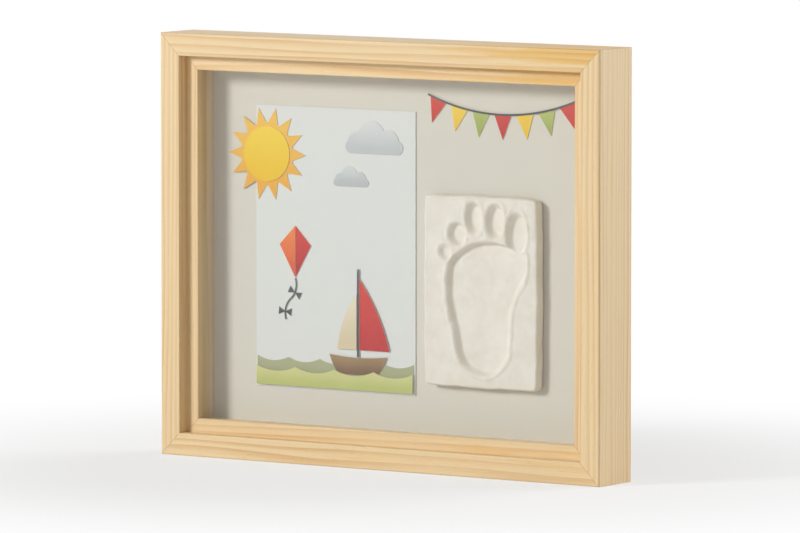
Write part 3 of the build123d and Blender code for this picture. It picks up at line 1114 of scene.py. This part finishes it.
@dataclass
class ClayPrint:
    """The pressed clay slab with the print of a baby's left foot.

    Attributes:
        step: The mean distance between the points of its face.
        crowding: How much closer together they are near its edges.
        corner: The radius of the slab's upright corners.
        edge: The radius of its soft front edge.
        edge_fade: How far inside its outline the relief is at its full height.
        bow: How far its sides draw in towards the corners.
        ripple: How uneven its outline is.
        press: How deep the foot was pressed.
        rim: How high the clay was pushed up round it.
        rim_reach: How far from the print the rim is highest.
        rim_spread: How wide the rim is.
        swell: How high the clay swelled next to the print.
        swell_reach: How far that goes.
        wall_run: How wide the sole's walls are.
        wall_top: How far outside its outline they begin.
        wall_ease: How much gentler they get towards the right.
        wall_share: Where they are that much gentler, as a share of the slab's width.
        wall_least: The lowest that share of the way gets, on the left.
        ball_steepness: How much steeper they are under the toes.
        ball_shares: Where that begins and is at its most, as shares of the slab's height.
        toe_run: How wide the toes' walls are.
        toe_bowl: How hollow the toes' floors are, as a share of their depth.
        merging: How sharply the hollows meet.
        lump_scale: How many lumps the hand left to a metre, roughly.
        lump_seed: Where in the noise they are read.
        lump_layers: Its finest detail's strength, the step from layer to layer and its layers.
        lump_height: How high they are.
        lump_share: How uneven they make the rim.
        line_steps: How many points the sole's outline has between two of its knots.
        bow_power: How near the slab's sides its bow and its waves stay.
        side_waves: The waves of its left and right sides: how tight each one is, where it starts,
            how far it turns from one side to the other and how strong it is.
        end_waves: The same of its top and its foot.
        sole_knots: The knots of the sole's outline, as shares of the slab's width and height from
            its middle.
        toes: Each toe's middle and half sizes as shares of the slab's width and height, its lean in
            degrees and its depth as a share of the press.
        floors: Where the sole's floor is deeper or shallower: the middle and the reach as shares of
            the slab's width and height, and the change as a share of the press.
        side_rings: How far down the slab's sides each ring lies, and how far it stands out.
        middle: The slab's middle.
        half: Half its width and half its height.
    """

    step: float = 0.42 * MM
    crowding: float = 1.15
    corner: float = 2.6 * MM
    edge: float = 1.5 * MM
    edge_fade: float = 3.0 * MM
    bow: float = 0.6 * MM
    ripple: float = 0.16 * MM
    press: float = 3.2 * MM
    rim: float = 0.5 * MM
    rim_reach: float = 1.2 * MM
    rim_spread: float = 0.9 * MM
    swell: float = 0.35 * MM
    swell_reach: float = 7.0 * MM
    wall_run: float = 2.6 * MM
    wall_top: float = 0.35 * MM
    wall_ease: float = 0.3
    wall_share: float = 0.3
    wall_least: float = -0.3
    ball_steepness: float = 0.4
    ball_shares: tuple[float, float] = (0.06, 0.2)
    toe_run: float = 1.9 * MM
    toe_bowl: float = 0.22
    merging: int = 6
    lump_scale: float = 150.0
    lump_seed: float = 3.7
    lump_layers: tuple[float, float, int] = (1.0, 2.0, 3)
    lump_height: float = 0.12 * MM
    lump_share: float = 0.5
    line_steps: int = 14
    bow_power: int = 5
    side_waves: tuple[tuple[float, ...], ...] = ((190, 1.3, 1, 1.0), (410, 0.4, 2, 0.6))
    end_waves: tuple[tuple[float, ...], ...] = ((230, 2.1, 1, 1.0), (470, 0, 1, 0.6))
    sole_knots: tuple[tuple[float, float], ...] = (
        (0.031, -0.433),
        (0.148, -0.408),
        (0.238, -0.335),
        (0.258, -0.23),
        (0.265, -0.12),
        (0.31, -0.01),
        (0.38, 0.065),
        (0.405, 0.14),
        (0.385, 0.215),
        (0.225, 0.25),
        (0.087, 0.264),
        (-0.07, 0.249),
        (-0.187, 0.204),
        (-0.262, 0.155),
        (-0.29, 0.084),
        (-0.29, -0.03),
        (-0.262, -0.13),
        (-0.23, -0.2),
        (-0.2, -0.31),
        (-0.13, -0.395),
    )
    toes: tuple[tuple[float, ...], ...] = (
        (0.315, 0.31, 0.09, 0.118, -2, 1.0),
        (0.131, 0.375, 0.08, 0.093, -2, 0.95),
        (-0.053, 0.385, 0.073, 0.086, 3, 0.9),
        (-0.197, 0.3, 0.078, 0.062, 12, 0.85),
        (-0.3, 0.202, 0.05, 0.042, 20, 0.5),
    )
    floors: tuple[tuple[float, ...], ...] = (
        (0.06, 0.2, 0.17, 0.3),
        (0.05, -0.34, 0.12, 0.22),
        (0.24, -0.13, 0.14, -0.3),
    )
    side_rings: tuple[tuple[float, float], ...] = (
        (0.35, 0.04 * MM),
        (0.7, 0.02 * MM),
        (0.92, -0.12 * MM),
        (1.0, -0.45 * MM),
    )
    middle: Vector = field(init=False)
    half: tuple[float, float] = field(init=False)

    def __post_init__(self) -> None:
        """Takes the slab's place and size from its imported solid."""
        low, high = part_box("clay_slab")
        self.middle = (low + high) / 2
        self.half = ((high.x - low.x) / 2, (high.z - low.z) / 2)

    def build(self) -> None:
        """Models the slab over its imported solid."""
        low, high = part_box("clay_slab")
        across, along = self.grid()
        inside = self.edge_distance(across, along)
        over = np.clip(self.edge - inside, 0, self.edge)
        drop = self.edge - np.sqrt(np.clip(self.edge**2 - over**2, 0, None))
        front = low.y + drop - self.relief_at(across, along) * smooth(inside, 0, self.edge_fade)
        across, along = self.rippled(across, along)
        points = np.stack([self.middle.x + across, front, self.middle.z + along], axis=-1)
        skin = Skin()
        number = np.array(skin.ring(points.reshape(-1, 3))).reshape(across.shape)
        skin.faces += grid_faces(number)
        self.add_sides(skin, perimeter(number), low.y + self.edge, high.y)
        material = ClayFinish("pressed_clay").material()
        skin.piece("clay_print", material, Body.FRAME.value, "clay", "clay_slab")

    def grid(self) -> tuple[np.ndarray, np.ndarray]:
        """Points of the slab's face, closer together near its edges, with its corners rounded.

        Returns:
            The distances across and along from the middle.
        """
        lines = []
        for half in self.half:
            count = int(round(2 * half / self.step)) + 1
            turn = np.linspace(-self.crowding, self.crowding, count)
            lines.append(np.sin(turn) / math.sin(self.crowding) * half)
        across, along = np.meshgrid(*lines)
        core = [half - self.corner for half in self.half]
        a = np.clip((np.abs(across) - core[0]) / self.corner, 0, 1)
        b = np.clip((np.abs(along) - core[1]) / self.corner, 0, 1)
        in_corner = (a > 0) & (b > 0)
        round_a = core[0] + self.corner * a * np.sqrt(1 - b * b / 2)
        round_b = core[1] + self.corner * b * np.sqrt(1 - a * a / 2)
        across = np.where(in_corner, np.sign(across) * round_a, across)
        along = np.where(in_corner, np.sign(along) * round_b, along)
        return across, along

    def edge_distance(self, across: np.ndarray, along: np.ndarray) -> np.ndarray:
        """How far points lie inside the slab's outline.

        Args:
            across: Distances across.
            along: Distances along.

        Returns:
            The distance of each one, 0 outside.
        """
        out_a = np.abs(across) - (self.half[0] - self.corner)
        out_b = np.abs(along) - (self.half[1] - self.corner)
        outside = np.hypot(np.clip(out_a, 0, None), np.clip(out_b, 0, None))
        inside = np.minimum(np.maximum(out_a, out_b), 0)
        return np.clip(self.corner - outside - inside, 0, None)

    def rippled(self, across: np.ndarray, along: np.ndarray) -> tuple[np.ndarray, np.ndarray]:
        """Bows the slab's sides and makes its outline slightly uneven.

        Args:
            across: Distances across.
            along: Distances along.

        Returns:
            Both, moved.
        """
        share_a, share_b = across / self.half[0], along / self.half[1]
        in_a = self.drawn_in(share_a, share_b, along, self.side_waves)
        in_b = self.drawn_in(share_b, share_a, across, self.end_waves)
        return across - in_a, along - in_b

    def drawn_in(
        self,
        out: np.ndarray,
        beside: np.ndarray,
        place: np.ndarray,
        waves: tuple[tuple[float, ...], ...],
    ) -> np.ndarray:
        """How far points near one pair of the slab's sides lie inside its straight outline.

        Args:
            out: How far out they are, from -1 to 1.
            beside: How far they are along the side, from -1 to 1.
            place: The same in metres.
            waves: The waves of these sides.

        Returns:
            The distances, below 0 on the side where out is.
        """
        wave = sum(
            strong * np.sin(place * tight + start + turn * out)
            for tight, start, turn, strong in waves
        )
        most = sum(strong for *_, strong in waves)
        depth = self.bow * beside**2 + self.ripple * (most - wave)
        return np.sign(out) * np.abs(out) ** self.bow_power * depth

    def sole_line(self) -> np.ndarray:
        """Draws the sole's outline as a smooth closed line through its knots.

        Returns:
            The line's points, as distances across and along from the slab's middle.
        """
        knots = np.array(self.sole_knots) * (2 * self.half[0], 2 * self.half[1])
        t = np.linspace(0, 1, self.line_steps, endpoint=False)[:, None]
        spans = []
        for i in range(len(knots)):
            p0, p1, p2, p3 = (knots[(i + k - 1) % len(knots)] for k in range(4))
            bend = (2 * p0 - 5 * p1 + 4 * p2 - p3) * t**2 + (3 * p1 - p0 - 3 * p2 + p3) * t**3
            spans.append((2 * p1 + (p2 - p0) * t + bend) / 2)
        return np.vstack(spans)

    def sole_distance(self, across: np.ndarray, along: np.ndarray) -> np.ndarray:
        """How far points lie outside the sole's outline.

        Args:
            across: Distances across.
            along: Distances along.

        Returns:
            The distance of each one, below 0 inside.
        """
        line = self.sole_line()
        points = np.stack([across.ravel(), along.ravel()], axis=1)
        nearest = np.full(len(points), np.inf)
        inside = np.zeros(len(points), bool)
        for start, end in zip(line, np.roll(line, -1, axis=0)):
            run = end - start
            share = np.clip(((points - start) @ run) / (run @ run), 0, 1)
            nearest = np.minimum(nearest, np.hypot(*(points - start - share[:, None] * run).T))
            crosses = (start[1] > points[:, 1]) != (end[1] > points[:, 1])
            if crosses.any():
                at = start[0] + (points[:, 1] - start[1]) / run[1] * run[0]
                inside ^= crosses & (points[:, 0] < at)
        return np.where(inside, -nearest, nearest).reshape(across.shape)

    def relief_at(self, across: np.ndarray, along: np.ndarray) -> np.ndarray:
        """How far the clay stands in front of the slab's flat face, below 0 in the print.

        Args:
            across: Distances across.
            along: Distances along.

        Returns:
            The relief in metres.
        """
        width, height = 2 * self.half[0], 2 * self.half[1]
        share_a, share_b = across / width, along / height
        nearest = self.sole_distance(across, along)
        floor = np.ones_like(nearest)
        for at_a, at_b, reach, share in self.floors:
            off_a, off_b = (share_a - at_a) / reach, (share_b - at_b) / reach
            floor += share * np.exp(-(off_a**2) - off_b**2)
        ease = np.clip(share_a / self.wall_share, self.wall_least, 1)
        run = self.wall_run * (1 + self.wall_ease * ease)
        run = run * (1 - self.ball_steepness * smooth(share_b, *self.ball_shares))
        sunk = [self.press * floor * smooth(-nearest, -self.wall_top, run)]
        for at_a, at_b, half_a, half_b, lean, depth in self.toes:
            turn = math.radians(lean)
            off_a, off_b = across - at_a * width, along - at_b * height
            local_a = off_a * math.cos(turn) + off_b * math.sin(turn)
            local_b = off_b * math.cos(turn) - off_a * math.sin(turn)
            size_a, size_b = half_a * width, half_b * height
            out = np.sqrt((local_a / size_a) ** 2 + (local_b / size_b) ** 2)
            gap = (out - 1) * min(size_a, size_b)
            bowl = self.toe_bowl * np.clip(1 - out**2, 0, 1)
            sunk.append(self.press * depth * (smooth(-gap, -self.wall_top, self.toe_run) + bowl))
            nearest = np.minimum(nearest, gap)
        sink = sum(one**self.merging for one in sunk) ** (1 / self.merging)
        rise = self.rim * np.exp(-(((nearest - self.rim_reach) / self.rim_spread) ** 2))
        rise += self.swell * np.exp(-((np.clip(nearest, 0, None) / self.swell_reach) ** 2))
        lumps = self.lumps(across, along)
        return rise * (1 + self.lump_share * lumps) - sink + self.lump_height * lumps

    def lumps(self, across: np.ndarray, along: np.ndarray) -> np.ndarray:
        """The lumps that the hand left, from about -1 to 1.

        Args:
            across: Distances across.
            along: Distances along.

        Returns:
            Their height at each point.
        """
        places = zip(across.ravel() * self.lump_scale, along.ravel() * self.lump_scale)
        heights = [
            noise.fractal(Vector((a, b, self.lump_seed)), *self.lump_layers) for a, b in places
        ]
        return np.array(heights).reshape(across.shape)

    def add_sides(self, skin: Skin, rim: list[int], start: float, back: float) -> None:
        """Adds the slab's sides and its flat back to the rim of its face.

        Args:
            skin: The slab's points and faces.
            rim: The numbers of the points round its face.
            start: How far back the sides start.
            back: Where the back lies.
        """
        edge = np.array([skin.points[one] for one in rim])
        outwards = (edge - np.array(self.middle)) * (1, 0, 1)
        outwards /= np.linalg.norm(outwards, axis=1)[:, None]
        rings = [rim]
        for share, grow in self.side_rings:
            ring = edge + outwards * grow
            ring[:, 1] = start + (back - start) * share
            rings.append(skin.ring(ring))
        skin.loft(rings)
        skin.cap(rings[-1])


@dataclass
class ButtonSeat:
    """Where one turn button sits on the frame's back.

    Attributes:
        node: The button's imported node, which its body is named after.
        head_radius: The radius of the button's round head.
        reach: How far its tip is from its screw.
        place: Where its screw leaves the wood, with X towards the tip and Z out of the wood.
    """

    node: str
    head_radius: float = field(init=False)
    reach: float = field(init=False)
    place: Matrix = field(init=False)

    def __post_init__(self) -> None:
        """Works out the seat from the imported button's box."""
        low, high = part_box(self.node)
        side = Side[self.node.split("_")[2].upper()]
        inward = Vector(side.value)
        size = high - low
        self.head_radius = min(size.x, size.z) / 2
        self.reach = max(size.x, size.z) - self.head_radius
        middle = (low + high) / 2
        middle.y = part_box("rail_top")[1].y
        origin = middle - inward * (max(size.x, size.z) / 2 - self.head_radius)
        out = Vector((0, 1, 0))
        turn = Matrix((inward, out.cross(inward), out)).transposed()
        self.place = Matrix.Translation(origin) @ turn.to_4x4()


@dataclass
class TurnButton:
    """One stamped turn button: a round head about its screw and a finger end bent off the panel.

    Attributes:
        seat: Where it sits.
        gap: How far it stands off the wood.
        sheet: How thick it is.
        lift: How far its finger end is bent up.
        bend_share: Where it bends, as a share of its reach.
        bend_run: Half the length of the bend.
        tip_radius: The radius of its finger end.
        hole_radius: The radius of the hole about its screw.
        edge_round: The radius of its stamped edge.
        edge_steps: How many rings that has.
        burr: How far its underside is set in from the edge.
        dimple_height: How high the dimple near its tip is pressed.
        dimple_radius: How wide that is.
        dimple_power: How flat its top and steep its sides are.
        arc_steps: How many sides each round end has.
        line_steps: How many parts each straight side has.
        rings: How many rings lie between the edge and the hole.
    """

    seat: ButtonSeat
    gap: float = 0.3 * MM
    sheet: float = 1.0 * MM
    lift: float = 1.4 * MM
    bend_share: float = 0.72
    bend_run: float = 1.1 * MM
    tip_radius: float = 3.2 * MM
    hole_radius: float = 1.53 * MM
    edge_round: float = 0.28 * MM
    edge_steps: int = 5
    burr: float = 0.08 * MM
    dimple_height: float = 0.32 * MM
    dimple_radius: float = 1.5 * MM
    dimple_power: int = 4
    arc_steps: int = 30
    line_steps: int = 8
    rings: int = 22

    def outline(self) -> list[tuple[float, float, float]]:
        """The button's outline about its screw.

        Returns:
            Each point's place along and across the button, and the angle of its edge.
        """
        head = self.seat.head_radius
        span = self.seat.reach - self.tip_radius
        slope = math.acos((head - self.tip_radius) / span)
        points = []
        for middle, radius, start, end in (
            (span, self.tip_radius, -slope, slope),
            (0.0, head, slope, 2 * math.pi - slope),
        ):
            for step in range(self.arc_steps + 1):
                angle = start + (end - start) * step / self.arc_steps
                points.append((middle + radius * math.cos(angle), radius * math.sin(angle), angle))
            other_middle, other_radius = (0.0, head) if middle else (span, self.tip_radius)
            for step in range(1, self.line_steps):
                share = step / self.line_steps
                centre = middle + (other_middle - middle) * share
                size = radius + (other_radius - radius) * share
                points.append((centre + size * math.cos(end), size * math.sin(end), end))
        return points

    def rise(self, along: float, across: float) -> float:
        """How far the sheet is bent and pressed up at a place.

        Args:
            along: Distance from the screw along the button.
            across: Distance from its middle line.

        Returns:
            The rise in metres.
        """
        past = along - self.seat.reach * self.bend_share
        ease = min(max(past + self.bend_run, 0.0), 2 * self.bend_run)
        bent = ease * ease / (4 * self.bend_run) + max(past - self.bend_run, 0.0)
        bend = self.lift * bent / (self.seat.reach * (1 - self.bend_share))
        away = math.hypot(along - self.seat.reach + self.tip_radius, across) / self.dimple_radius
        return bend + self.dimple_height * math.exp(-(away**self.dimple_power))

    def build(self, material: bpy.types.Material) -> None:
        """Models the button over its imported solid.

        Args:
            material: Its finish.
        """
        top = self.gap + self.sheet
        shares = [step / self.rings for step in range(self.rings + 1)]
        levels = []
        for turn in np.linspace(0, math.pi / 2, self.edge_steps):
            inset, drop = 1 - math.cos(turn), 1 - math.sin(turn)
            levels.append((self.edge_round * inset, 0.0, top - self.edge_round * drop))
        levels += [(self.edge_round, share, top) for share in shares[1:]]
        levels += [(self.burr, share, self.gap) for share in reversed(shares)]
        levels.append((0.0, 0.0, self.gap + self.burr))
        outline = self.outline()
        skin = Skin()
        skin.loft([self.add_ring(skin, outline, *level) for level in levels], closed=True)
        node = self.seat.node
        skin.piece(f"{node}_plate", material, node, "zinc_steel", node)

    def add_ring(
        self,
        skin: Skin,
        outline: list[tuple[float, float, float]],
        inset: float,
        share: float,
        level: float,
    ) -> list[int]:
        """Adds one ring between the outline and the screw's hole.

        Args:
            skin: The button's points and faces.
            outline: Its outline.
            inset: How far inside the outline the ring starts.
            share: How far it is from there to the hole.
            level: How high it lies over the wood, before the bend.

        Returns:
            The ring's point numbers.
        """
        places = []
        for along, across, angle in outline:
            start = Vector((along - inset * math.cos(angle), across - inset * math.sin(angle)))
            place = start.lerp(start.normalized() * self.hole_radius, share)
            places.append((place.x, place.y, level + self.rise(place.x, place.y)))
        return skin.ring(places, self.seat.place)


@dataclass
class PanScrew:
    """One pan head screw with a cross recess.

    Attributes:
        seat: The seat of the turn button that it holds.
        turned: How far its cross is turned, in radians.
        head_level: How high its head's underside is over the wood.
        head_radius: The head's radius.
        head_height: How high its dome is.
        dome_power: How flat the dome's top and steep its sides are.
        shank_radius: The shank's radius.
        length: How deep the screw goes into the wood.
        point: How long its point is.
        recess_arm: Half the width of an arm of the cross.
        recess_reach: How far an arm reaches.
        recess_depth: How deep the cross is in the middle.
        recess_taper: How much shallower it is at the head's rim, as a share of that.
        wall: Half the width of its walls, and the radius of the point's end.
        grid_power: How near the rim the grid of the head turns from square to round.
        grid_shares: Where its lines lie, as shares of the head's radius.
    """

    seat: ButtonSeat
    turned: float
    head_level: float = 1.38 * MM
    head_radius: float = 2.8 * MM
    head_height: float = 1.9 * MM
    dome_power: int = 4
    shank_radius: float = 1.45 * MM
    length: float = 11.0 * MM
    point: float = 2.0 * MM
    recess_arm: float = 0.42 * MM
    recess_reach: float = 1.45 * MM
    recess_depth: float = 1.15 * MM
    recess_taper: float = 0.6
    wall: float = 0.07 * MM
    grid_power: int = 4
    grid_shares: tuple[float, ...] = (
        0.07, 0.125, 0.175, 0.25, 0.36, 0.49,
        0.545, 0.66, 0.8, 0.92, 0.98, 1.0,
    )

    def within(self, place: np.ndarray, reach: float) -> np.ndarray:
        """How far places lie within a reach to both sides, from 0 to 1."""
        return 1 - smooth(np.abs(place), reach - self.wall, reach + self.wall)

    def arm(self, along: np.ndarray, across: np.ndarray) -> np.ndarray:
        """How far places lie in one pair of the cross's arms, from 0 to 1."""
        return self.within(across, self.recess_arm) * self.within(along, self.recess_reach)

    def build(self, skin: Skin) -> None:
        """Adds the screw to a piece.

        Args:
            skin: The piece's points and faces.
        """
        shares = np.array(self.grid_shares)
        line = np.concatenate((-shares[::-1], (0.0,), shares)) * self.head_radius
        across, along = np.meshgrid(line, line)
        square = np.maximum(np.abs(across), np.abs(along))
        away = np.maximum(np.hypot(across, along), TINY)
        blend = (square / self.head_radius) ** self.grid_power
        pull = 1 - blend + blend * square / away
        across, along = across * pull, along * pull
        share = np.clip(np.hypot(across, along) / self.head_radius, 0, 1)
        dome = self.head_level + self.head_height * np.sqrt(1 - share**self.dome_power)
        cross = np.maximum(self.arm(along, across), self.arm(across, along))
        level = dome - cross * self.recess_depth * (1 - self.recess_taper * share)
        place = self.seat.place @ Matrix.Rotation(self.turned, 4, "Z")
        grid = np.stack([across, along, level], axis=-1).reshape(-1, 3)
        number = np.array(skin.ring(grid, place)).reshape(across.shape)
        skin.faces += grid_faces(number)
        rim = perimeter(number)
        edge = [Vector(grid[one - rim[0]]) for one in rim]
        rings = [rim]
        for radius, height in (
            (self.shank_radius, self.head_level),
            (self.shank_radius, self.point - self.length),
            (self.wall, -self.length),
        ):
            round_it = [(*(Vector(one.xy).normalized() * radius), height) for one in edge]
            rings.append(skin.ring(round_it, place))
        skin.loft(rings)
        skin.cap(rings[-1])


@dataclass
class Hanger:
    """The strap with its eyelet, and the bent wire ring that swings in it.

    Attributes:
        wire_radius: Half the thickness of the ring's wire.
        corner: The radius of the bends at the bar's ends.
        wire_sides: How many sides the wire has.
        corner_steps: How many parts each of those bends has.
        end_steps: How many parts the ring's round end has.
        eyelet_sides: How many sides the eyelet has.
        eyelet_profile: The section that it is turned from: each point's share of the flange's
            radius, whether it is measured from the eyelet's front (0) or its back (1), and how far
            behind that it lies.
    """

    wire_radius: float = 0.9 * MM
    corner: float = 2.2 * MM
    wire_sides: int = 20
    corner_steps: int = 10
    end_steps: int = 44
    eyelet_sides: int = 40
    eyelet_profile: tuple[tuple[float, int, float], ...] = (
        (0.23, 0, 0.0),
        (1.0, 0, 0.0),
        (1.0, 0, 0.5 * MM),
        (0.66, 0, 0.5 * MM),
        (0.66, 1, -0.5 * MM),
        (0.97, 1, -0.5 * MM),
        (1.0, 1, -0.36 * MM),
        (0.93, 1, -0.16 * MM),
        (0.8, 1, -0.03 * MM),
        (0.68, 1, 0.0),
        (0.56, 1, -0.08 * MM),
        (0.48, 1, -0.3 * MM),
        (0.45, 1, -0.7 * MM),
        (0.45, 0, 0.8 * MM),
    )

    def build(self, material: bpy.types.Material) -> None:
        """Dresses the strap and models the ring and the eyelet.

        Args:
            material: The fittings' finish.
        """
        dress("hanger_strap", material)
        self.add_ring(material)
        self.add_eyelet(material)

    def add_ring(self, material: bpy.types.Material) -> None:
        """Bends the wire: a bar, two corners, two legs and a round end.

        Args:
            material: Its finish.
        """
        low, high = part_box("hanger_ring")
        half = (high.x - low.x) / 2 - self.wire_radius
        bar = high.z - self.wire_radius
        end = low.z + self.wire_radius + half
        depth = (low.y + high.y) / 2
        bends = (
            (half - self.corner, bar - self.corner, self.corner, 90, 0, self.corner_steps),
            (0.0, end, half, 0, -180, self.end_steps),
            (self.corner - half, bar - self.corner, self.corner, 180, 90, self.corner_steps),
        )
        skin = Skin()
        rings = []
        for x, z, radius, start, stop, steps in bends:
            for turn in np.radians(np.linspace(start, stop, steps + 1)):
                out = Vector((math.cos(turn), 0, math.sin(turn)))
                middle = Vector((x, depth, z)) + out * radius
                places = []
                for side in range(self.wire_sides):
                    angle = 2 * math.pi * side / self.wire_sides
                    off = out * math.cos(angle) + Vector((0, math.sin(angle), 0))
                    places.append(middle + off * self.wire_radius)
                rings.append(skin.ring(places))
        skin.loft(rings, closed=True)
        skin.piece("hanger_wire_ring", material, Body.RING.value, "zinc_steel", "hanger_ring")

    def add_eyelet(self, material: bpy.types.Material) -> None:
        """Turns the eyelet, with its rolled lip over the strap.

        Args:
            material: Its finish.
        """
        low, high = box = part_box("hanger_eyelet")
        middle = (low + high) / 2
        base = Vector((middle.x, 0, middle.z))
        flange = (high.x - low.x) / 2
        skin = Skin()
        rings = []
        for side in range(self.eyelet_sides):
            angle = 2 * math.pi * side / self.eyelet_sides
            out = Vector((math.cos(angle), 0, math.sin(angle)))
            places = [
                base + out * flange * share + Vector((0, box[end].y + behind, 0))
                for share, end, behind in self.eyelet_profile
            ]
            rings.append(skin.ring(places))
        skin.loft(rings, closed=True)
        body = Body.FRAME.value
        skin.piece("hanger_rolled_eyelet", material, body, "zinc_steel", "hanger_eyelet")


@dataclass
class BackFittings:
    """The back panel, the turn buttons with their screws and the hanger.

    Attributes:
        seed: The seed of the screws' turns.
    """

    seed: int = 11

    def build(self) -> None:
        """Dresses and models the back."""
        dress("back_panel", BoardFinish("fibreboard").material())
        zinc = SteelFinish("zinc_plate").material()
        seats = [ButtonSeat(node) for node in sorted(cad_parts) if self.is_button(node)]
        turns = np.random.default_rng(self.seed).uniform(0, math.pi / 2, len(seats))
        screws = Skin()
        for seat, turned in zip(seats, turns):
            TurnButton(seat).build(zinc)
            PanScrew(seat, float(turned)).build(screws)
        screws.piece("turn_screws", zinc, Body.FRAME.value, "zinc_steel", "turn_button_screws")
        Hanger().build(zinc)

    def is_button(self, node: str) -> bool:
        """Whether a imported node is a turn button."""
        return node.startswith("turn_button_") and node != "turn_button_screws"


@dataclass(frozen=True)
class Lamp:
    """One soft round lamp that points at the frame's middle.

    Attributes:
        name: Its name.
        towards: Which way it stands from the frame.
        size: How wide it is.
        power: How strong it is, in watts.
        distance: How far off it stands.
        aim_height: How high over the floor it points.
    """

    name: str
    towards: tuple[float, float, float]
    size: float
    power: float
    distance: float = 3.0
    aim_height: float = 0.11

    def add(self) -> None:
        """Adds the lamp to the scene."""
        data = bpy.data.lights.new(self.name, "AREA")
        data.shape = "DISK"
        data.size = self.size
        data.energy = self.power
        lamp = show(self.name, data)
        way = Vector(self.towards).normalized()
        lamp.location = Vector((0, 0, self.aim_height)) + way * self.distance
        lamp.rotation_mode = "QUATERNION"
        lamp.rotation_quaternion = way.to_track_quat("Z", "Y")


@dataclass
class Studio:
    """The floor, the lamps, the world and the camera.

    Attributes:
        azimuth: How far right of the frame's front the camera stands, in degrees.
        pitch: How far down it looks, in degrees.
        place: Where it stands.
        lens: Its focal length in millimetres.
        sensor: How wide its sensor is, in millimetres.
        sight: How far it sees.
        white: How bright the background is to the camera, where 1 is white.
        fill: How strong the light from all round is.
        lamps: The lamps.
        floor_size: How wide the floor is.
        floor_colour: How pale it is, in linear light.
        floor_roughness: How rough it is.
        glow_range: Where the floor begins to turn white and is white, from the frame's middle.
        glow_least: How much of that it has below the frame, so that it keeps the shadow there.
    """

    azimuth: float = 34.2
    pitch: float = 5.0
    place: tuple[float, float, float] = (2.38, -3.495, 0.475)
    lens: float = 368.0
    sensor: float = 36.0
    sight: float = 100.0
    white: float = 1.0
    fill: float = 0.26
    lamps: tuple[Lamp, ...] = (
        Lamp("key", (-0.58, -1.0, 0.43), 0.85, 55.0),
        Lamp("back", (0.7, 1.0, 0.45), 2.6, 62.0),
    )
    floor_size: float = 24.0
    floor_colour: float = 0.9
    floor_roughness: float = 0.9
    glow_range: tuple[float, float] = (0.12, 0.42)
    glow_least: float = 0.58

    def build(self) -> None:
        """Sets the stage."""
        self.add_floor()
        self.add_world()
        for lamp in self.lamps:
            lamp.add()
        self.add_camera()
        bpy.context.scene.view_settings.view_transform = "Standard"

    def seen_directly(self, graph: Graph) -> Socket:
        """Whether the camera sees a surface, straight or by way of metal or glass.

        Args:
            graph: The graph of the surface's material or of the world.

        Returns:
            1 where it does, otherwise 0.
        """
        path = graph.node("ShaderNodeLightPath").outputs
        seen = graph.math("MAXIMUM", path["Is Camera Ray"], path["Is Glossy Ray"])
        return graph.math("MAXIMUM", seen, path["Is Transmission Ray"])

    def add_floor(self) -> None:
        """Adds a pale floor that keeps the shadow near the object and turns white far off."""
        mesh = bpy.data.meshes.new("floor")
        half = self.floor_size / 2
        edge = [(-half, -half, 0), (half, -half, 0), (half, half, 0), (-half, half, 0)]
        mesh.from_pydata(edge, [], [(0, 1, 2, 3)])
        floor = show("floor", mesh)
        material = bpy.data.materials.new("floor")
        material.use_nodes = True
        graph = Graph(material.node_tree)
        shader = material.node_tree.nodes["Principled BSDF"]
        graph.feed(shader.inputs["Base Color"], (self.floor_colour,) * 3)
        shader.inputs["Roughness"].default_value = self.floor_roughness
        away = graph.length(graph.node("ShaderNodeTexCoord").outputs["Object"])
        share = graph.spread(graph.ease(away, *self.glow_range), self.glow_least, 1.0)
        share = graph.math("MULTIPLY", share, self.seen_directly(graph))
        glow = graph.node("ShaderNodeEmission", {"Color": (self.white,) * 3, "Strength": 1.0})
        graph.end(graph.joined(share, shader.outputs[0], glow.outputs[0]))
        mesh.materials.append(material)

    def add_world(self) -> None:
        """Lights the object softly from all round, and shows the camera a white background."""
        world = bpy.data.worlds.new("studio")
        bpy.context.scene.world = world
        world.use_nodes = True
        graph = Graph(world.node_tree)
        light = world.node_tree.nodes["Background"]
        light.inputs["Strength"].default_value = self.fill
        graph.feed(light.inputs["Color"], (1.0, 1.0, 1.0))
        shown = graph.node("ShaderNodeBackground", {"Color": (self.white,) * 3, "Strength": 1.0})
        graph.end(graph.joined(self.seen_directly(graph), light.outputs[0], shown.outputs[0]))

    def add_camera(self) -> None:
        """Adds the camera at the photograph's viewing angle."""
        data = bpy.data.cameras.new("camera")
        data.sensor_width = self.sensor
        data.lens = self.lens
        data.clip_end = self.sight
        camera = show("camera", data)
        turn = Matrix.Rotation(math.radians(self.azimuth), 4, "Z")
        tilt = Matrix.Rotation(math.radians(90 - self.pitch), 4, "X")
        camera.matrix_world = Matrix.Translation(self.place) @ turn @ tilt
        bpy.context.scene.camera = camera


def main() -> None:
    """Builds each sub-assembly in order."""
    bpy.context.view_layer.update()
    for part in (WoodenFrame, Pane, CardMount, PaperScene, ClayPrint, BackFittings, Studio):
        part().build()
        LOG.info("%s is done", part.__name__)


if __name__ == "__main__":
    logging.basicConfig(level=logging.INFO, format="%(message)s")
    main()
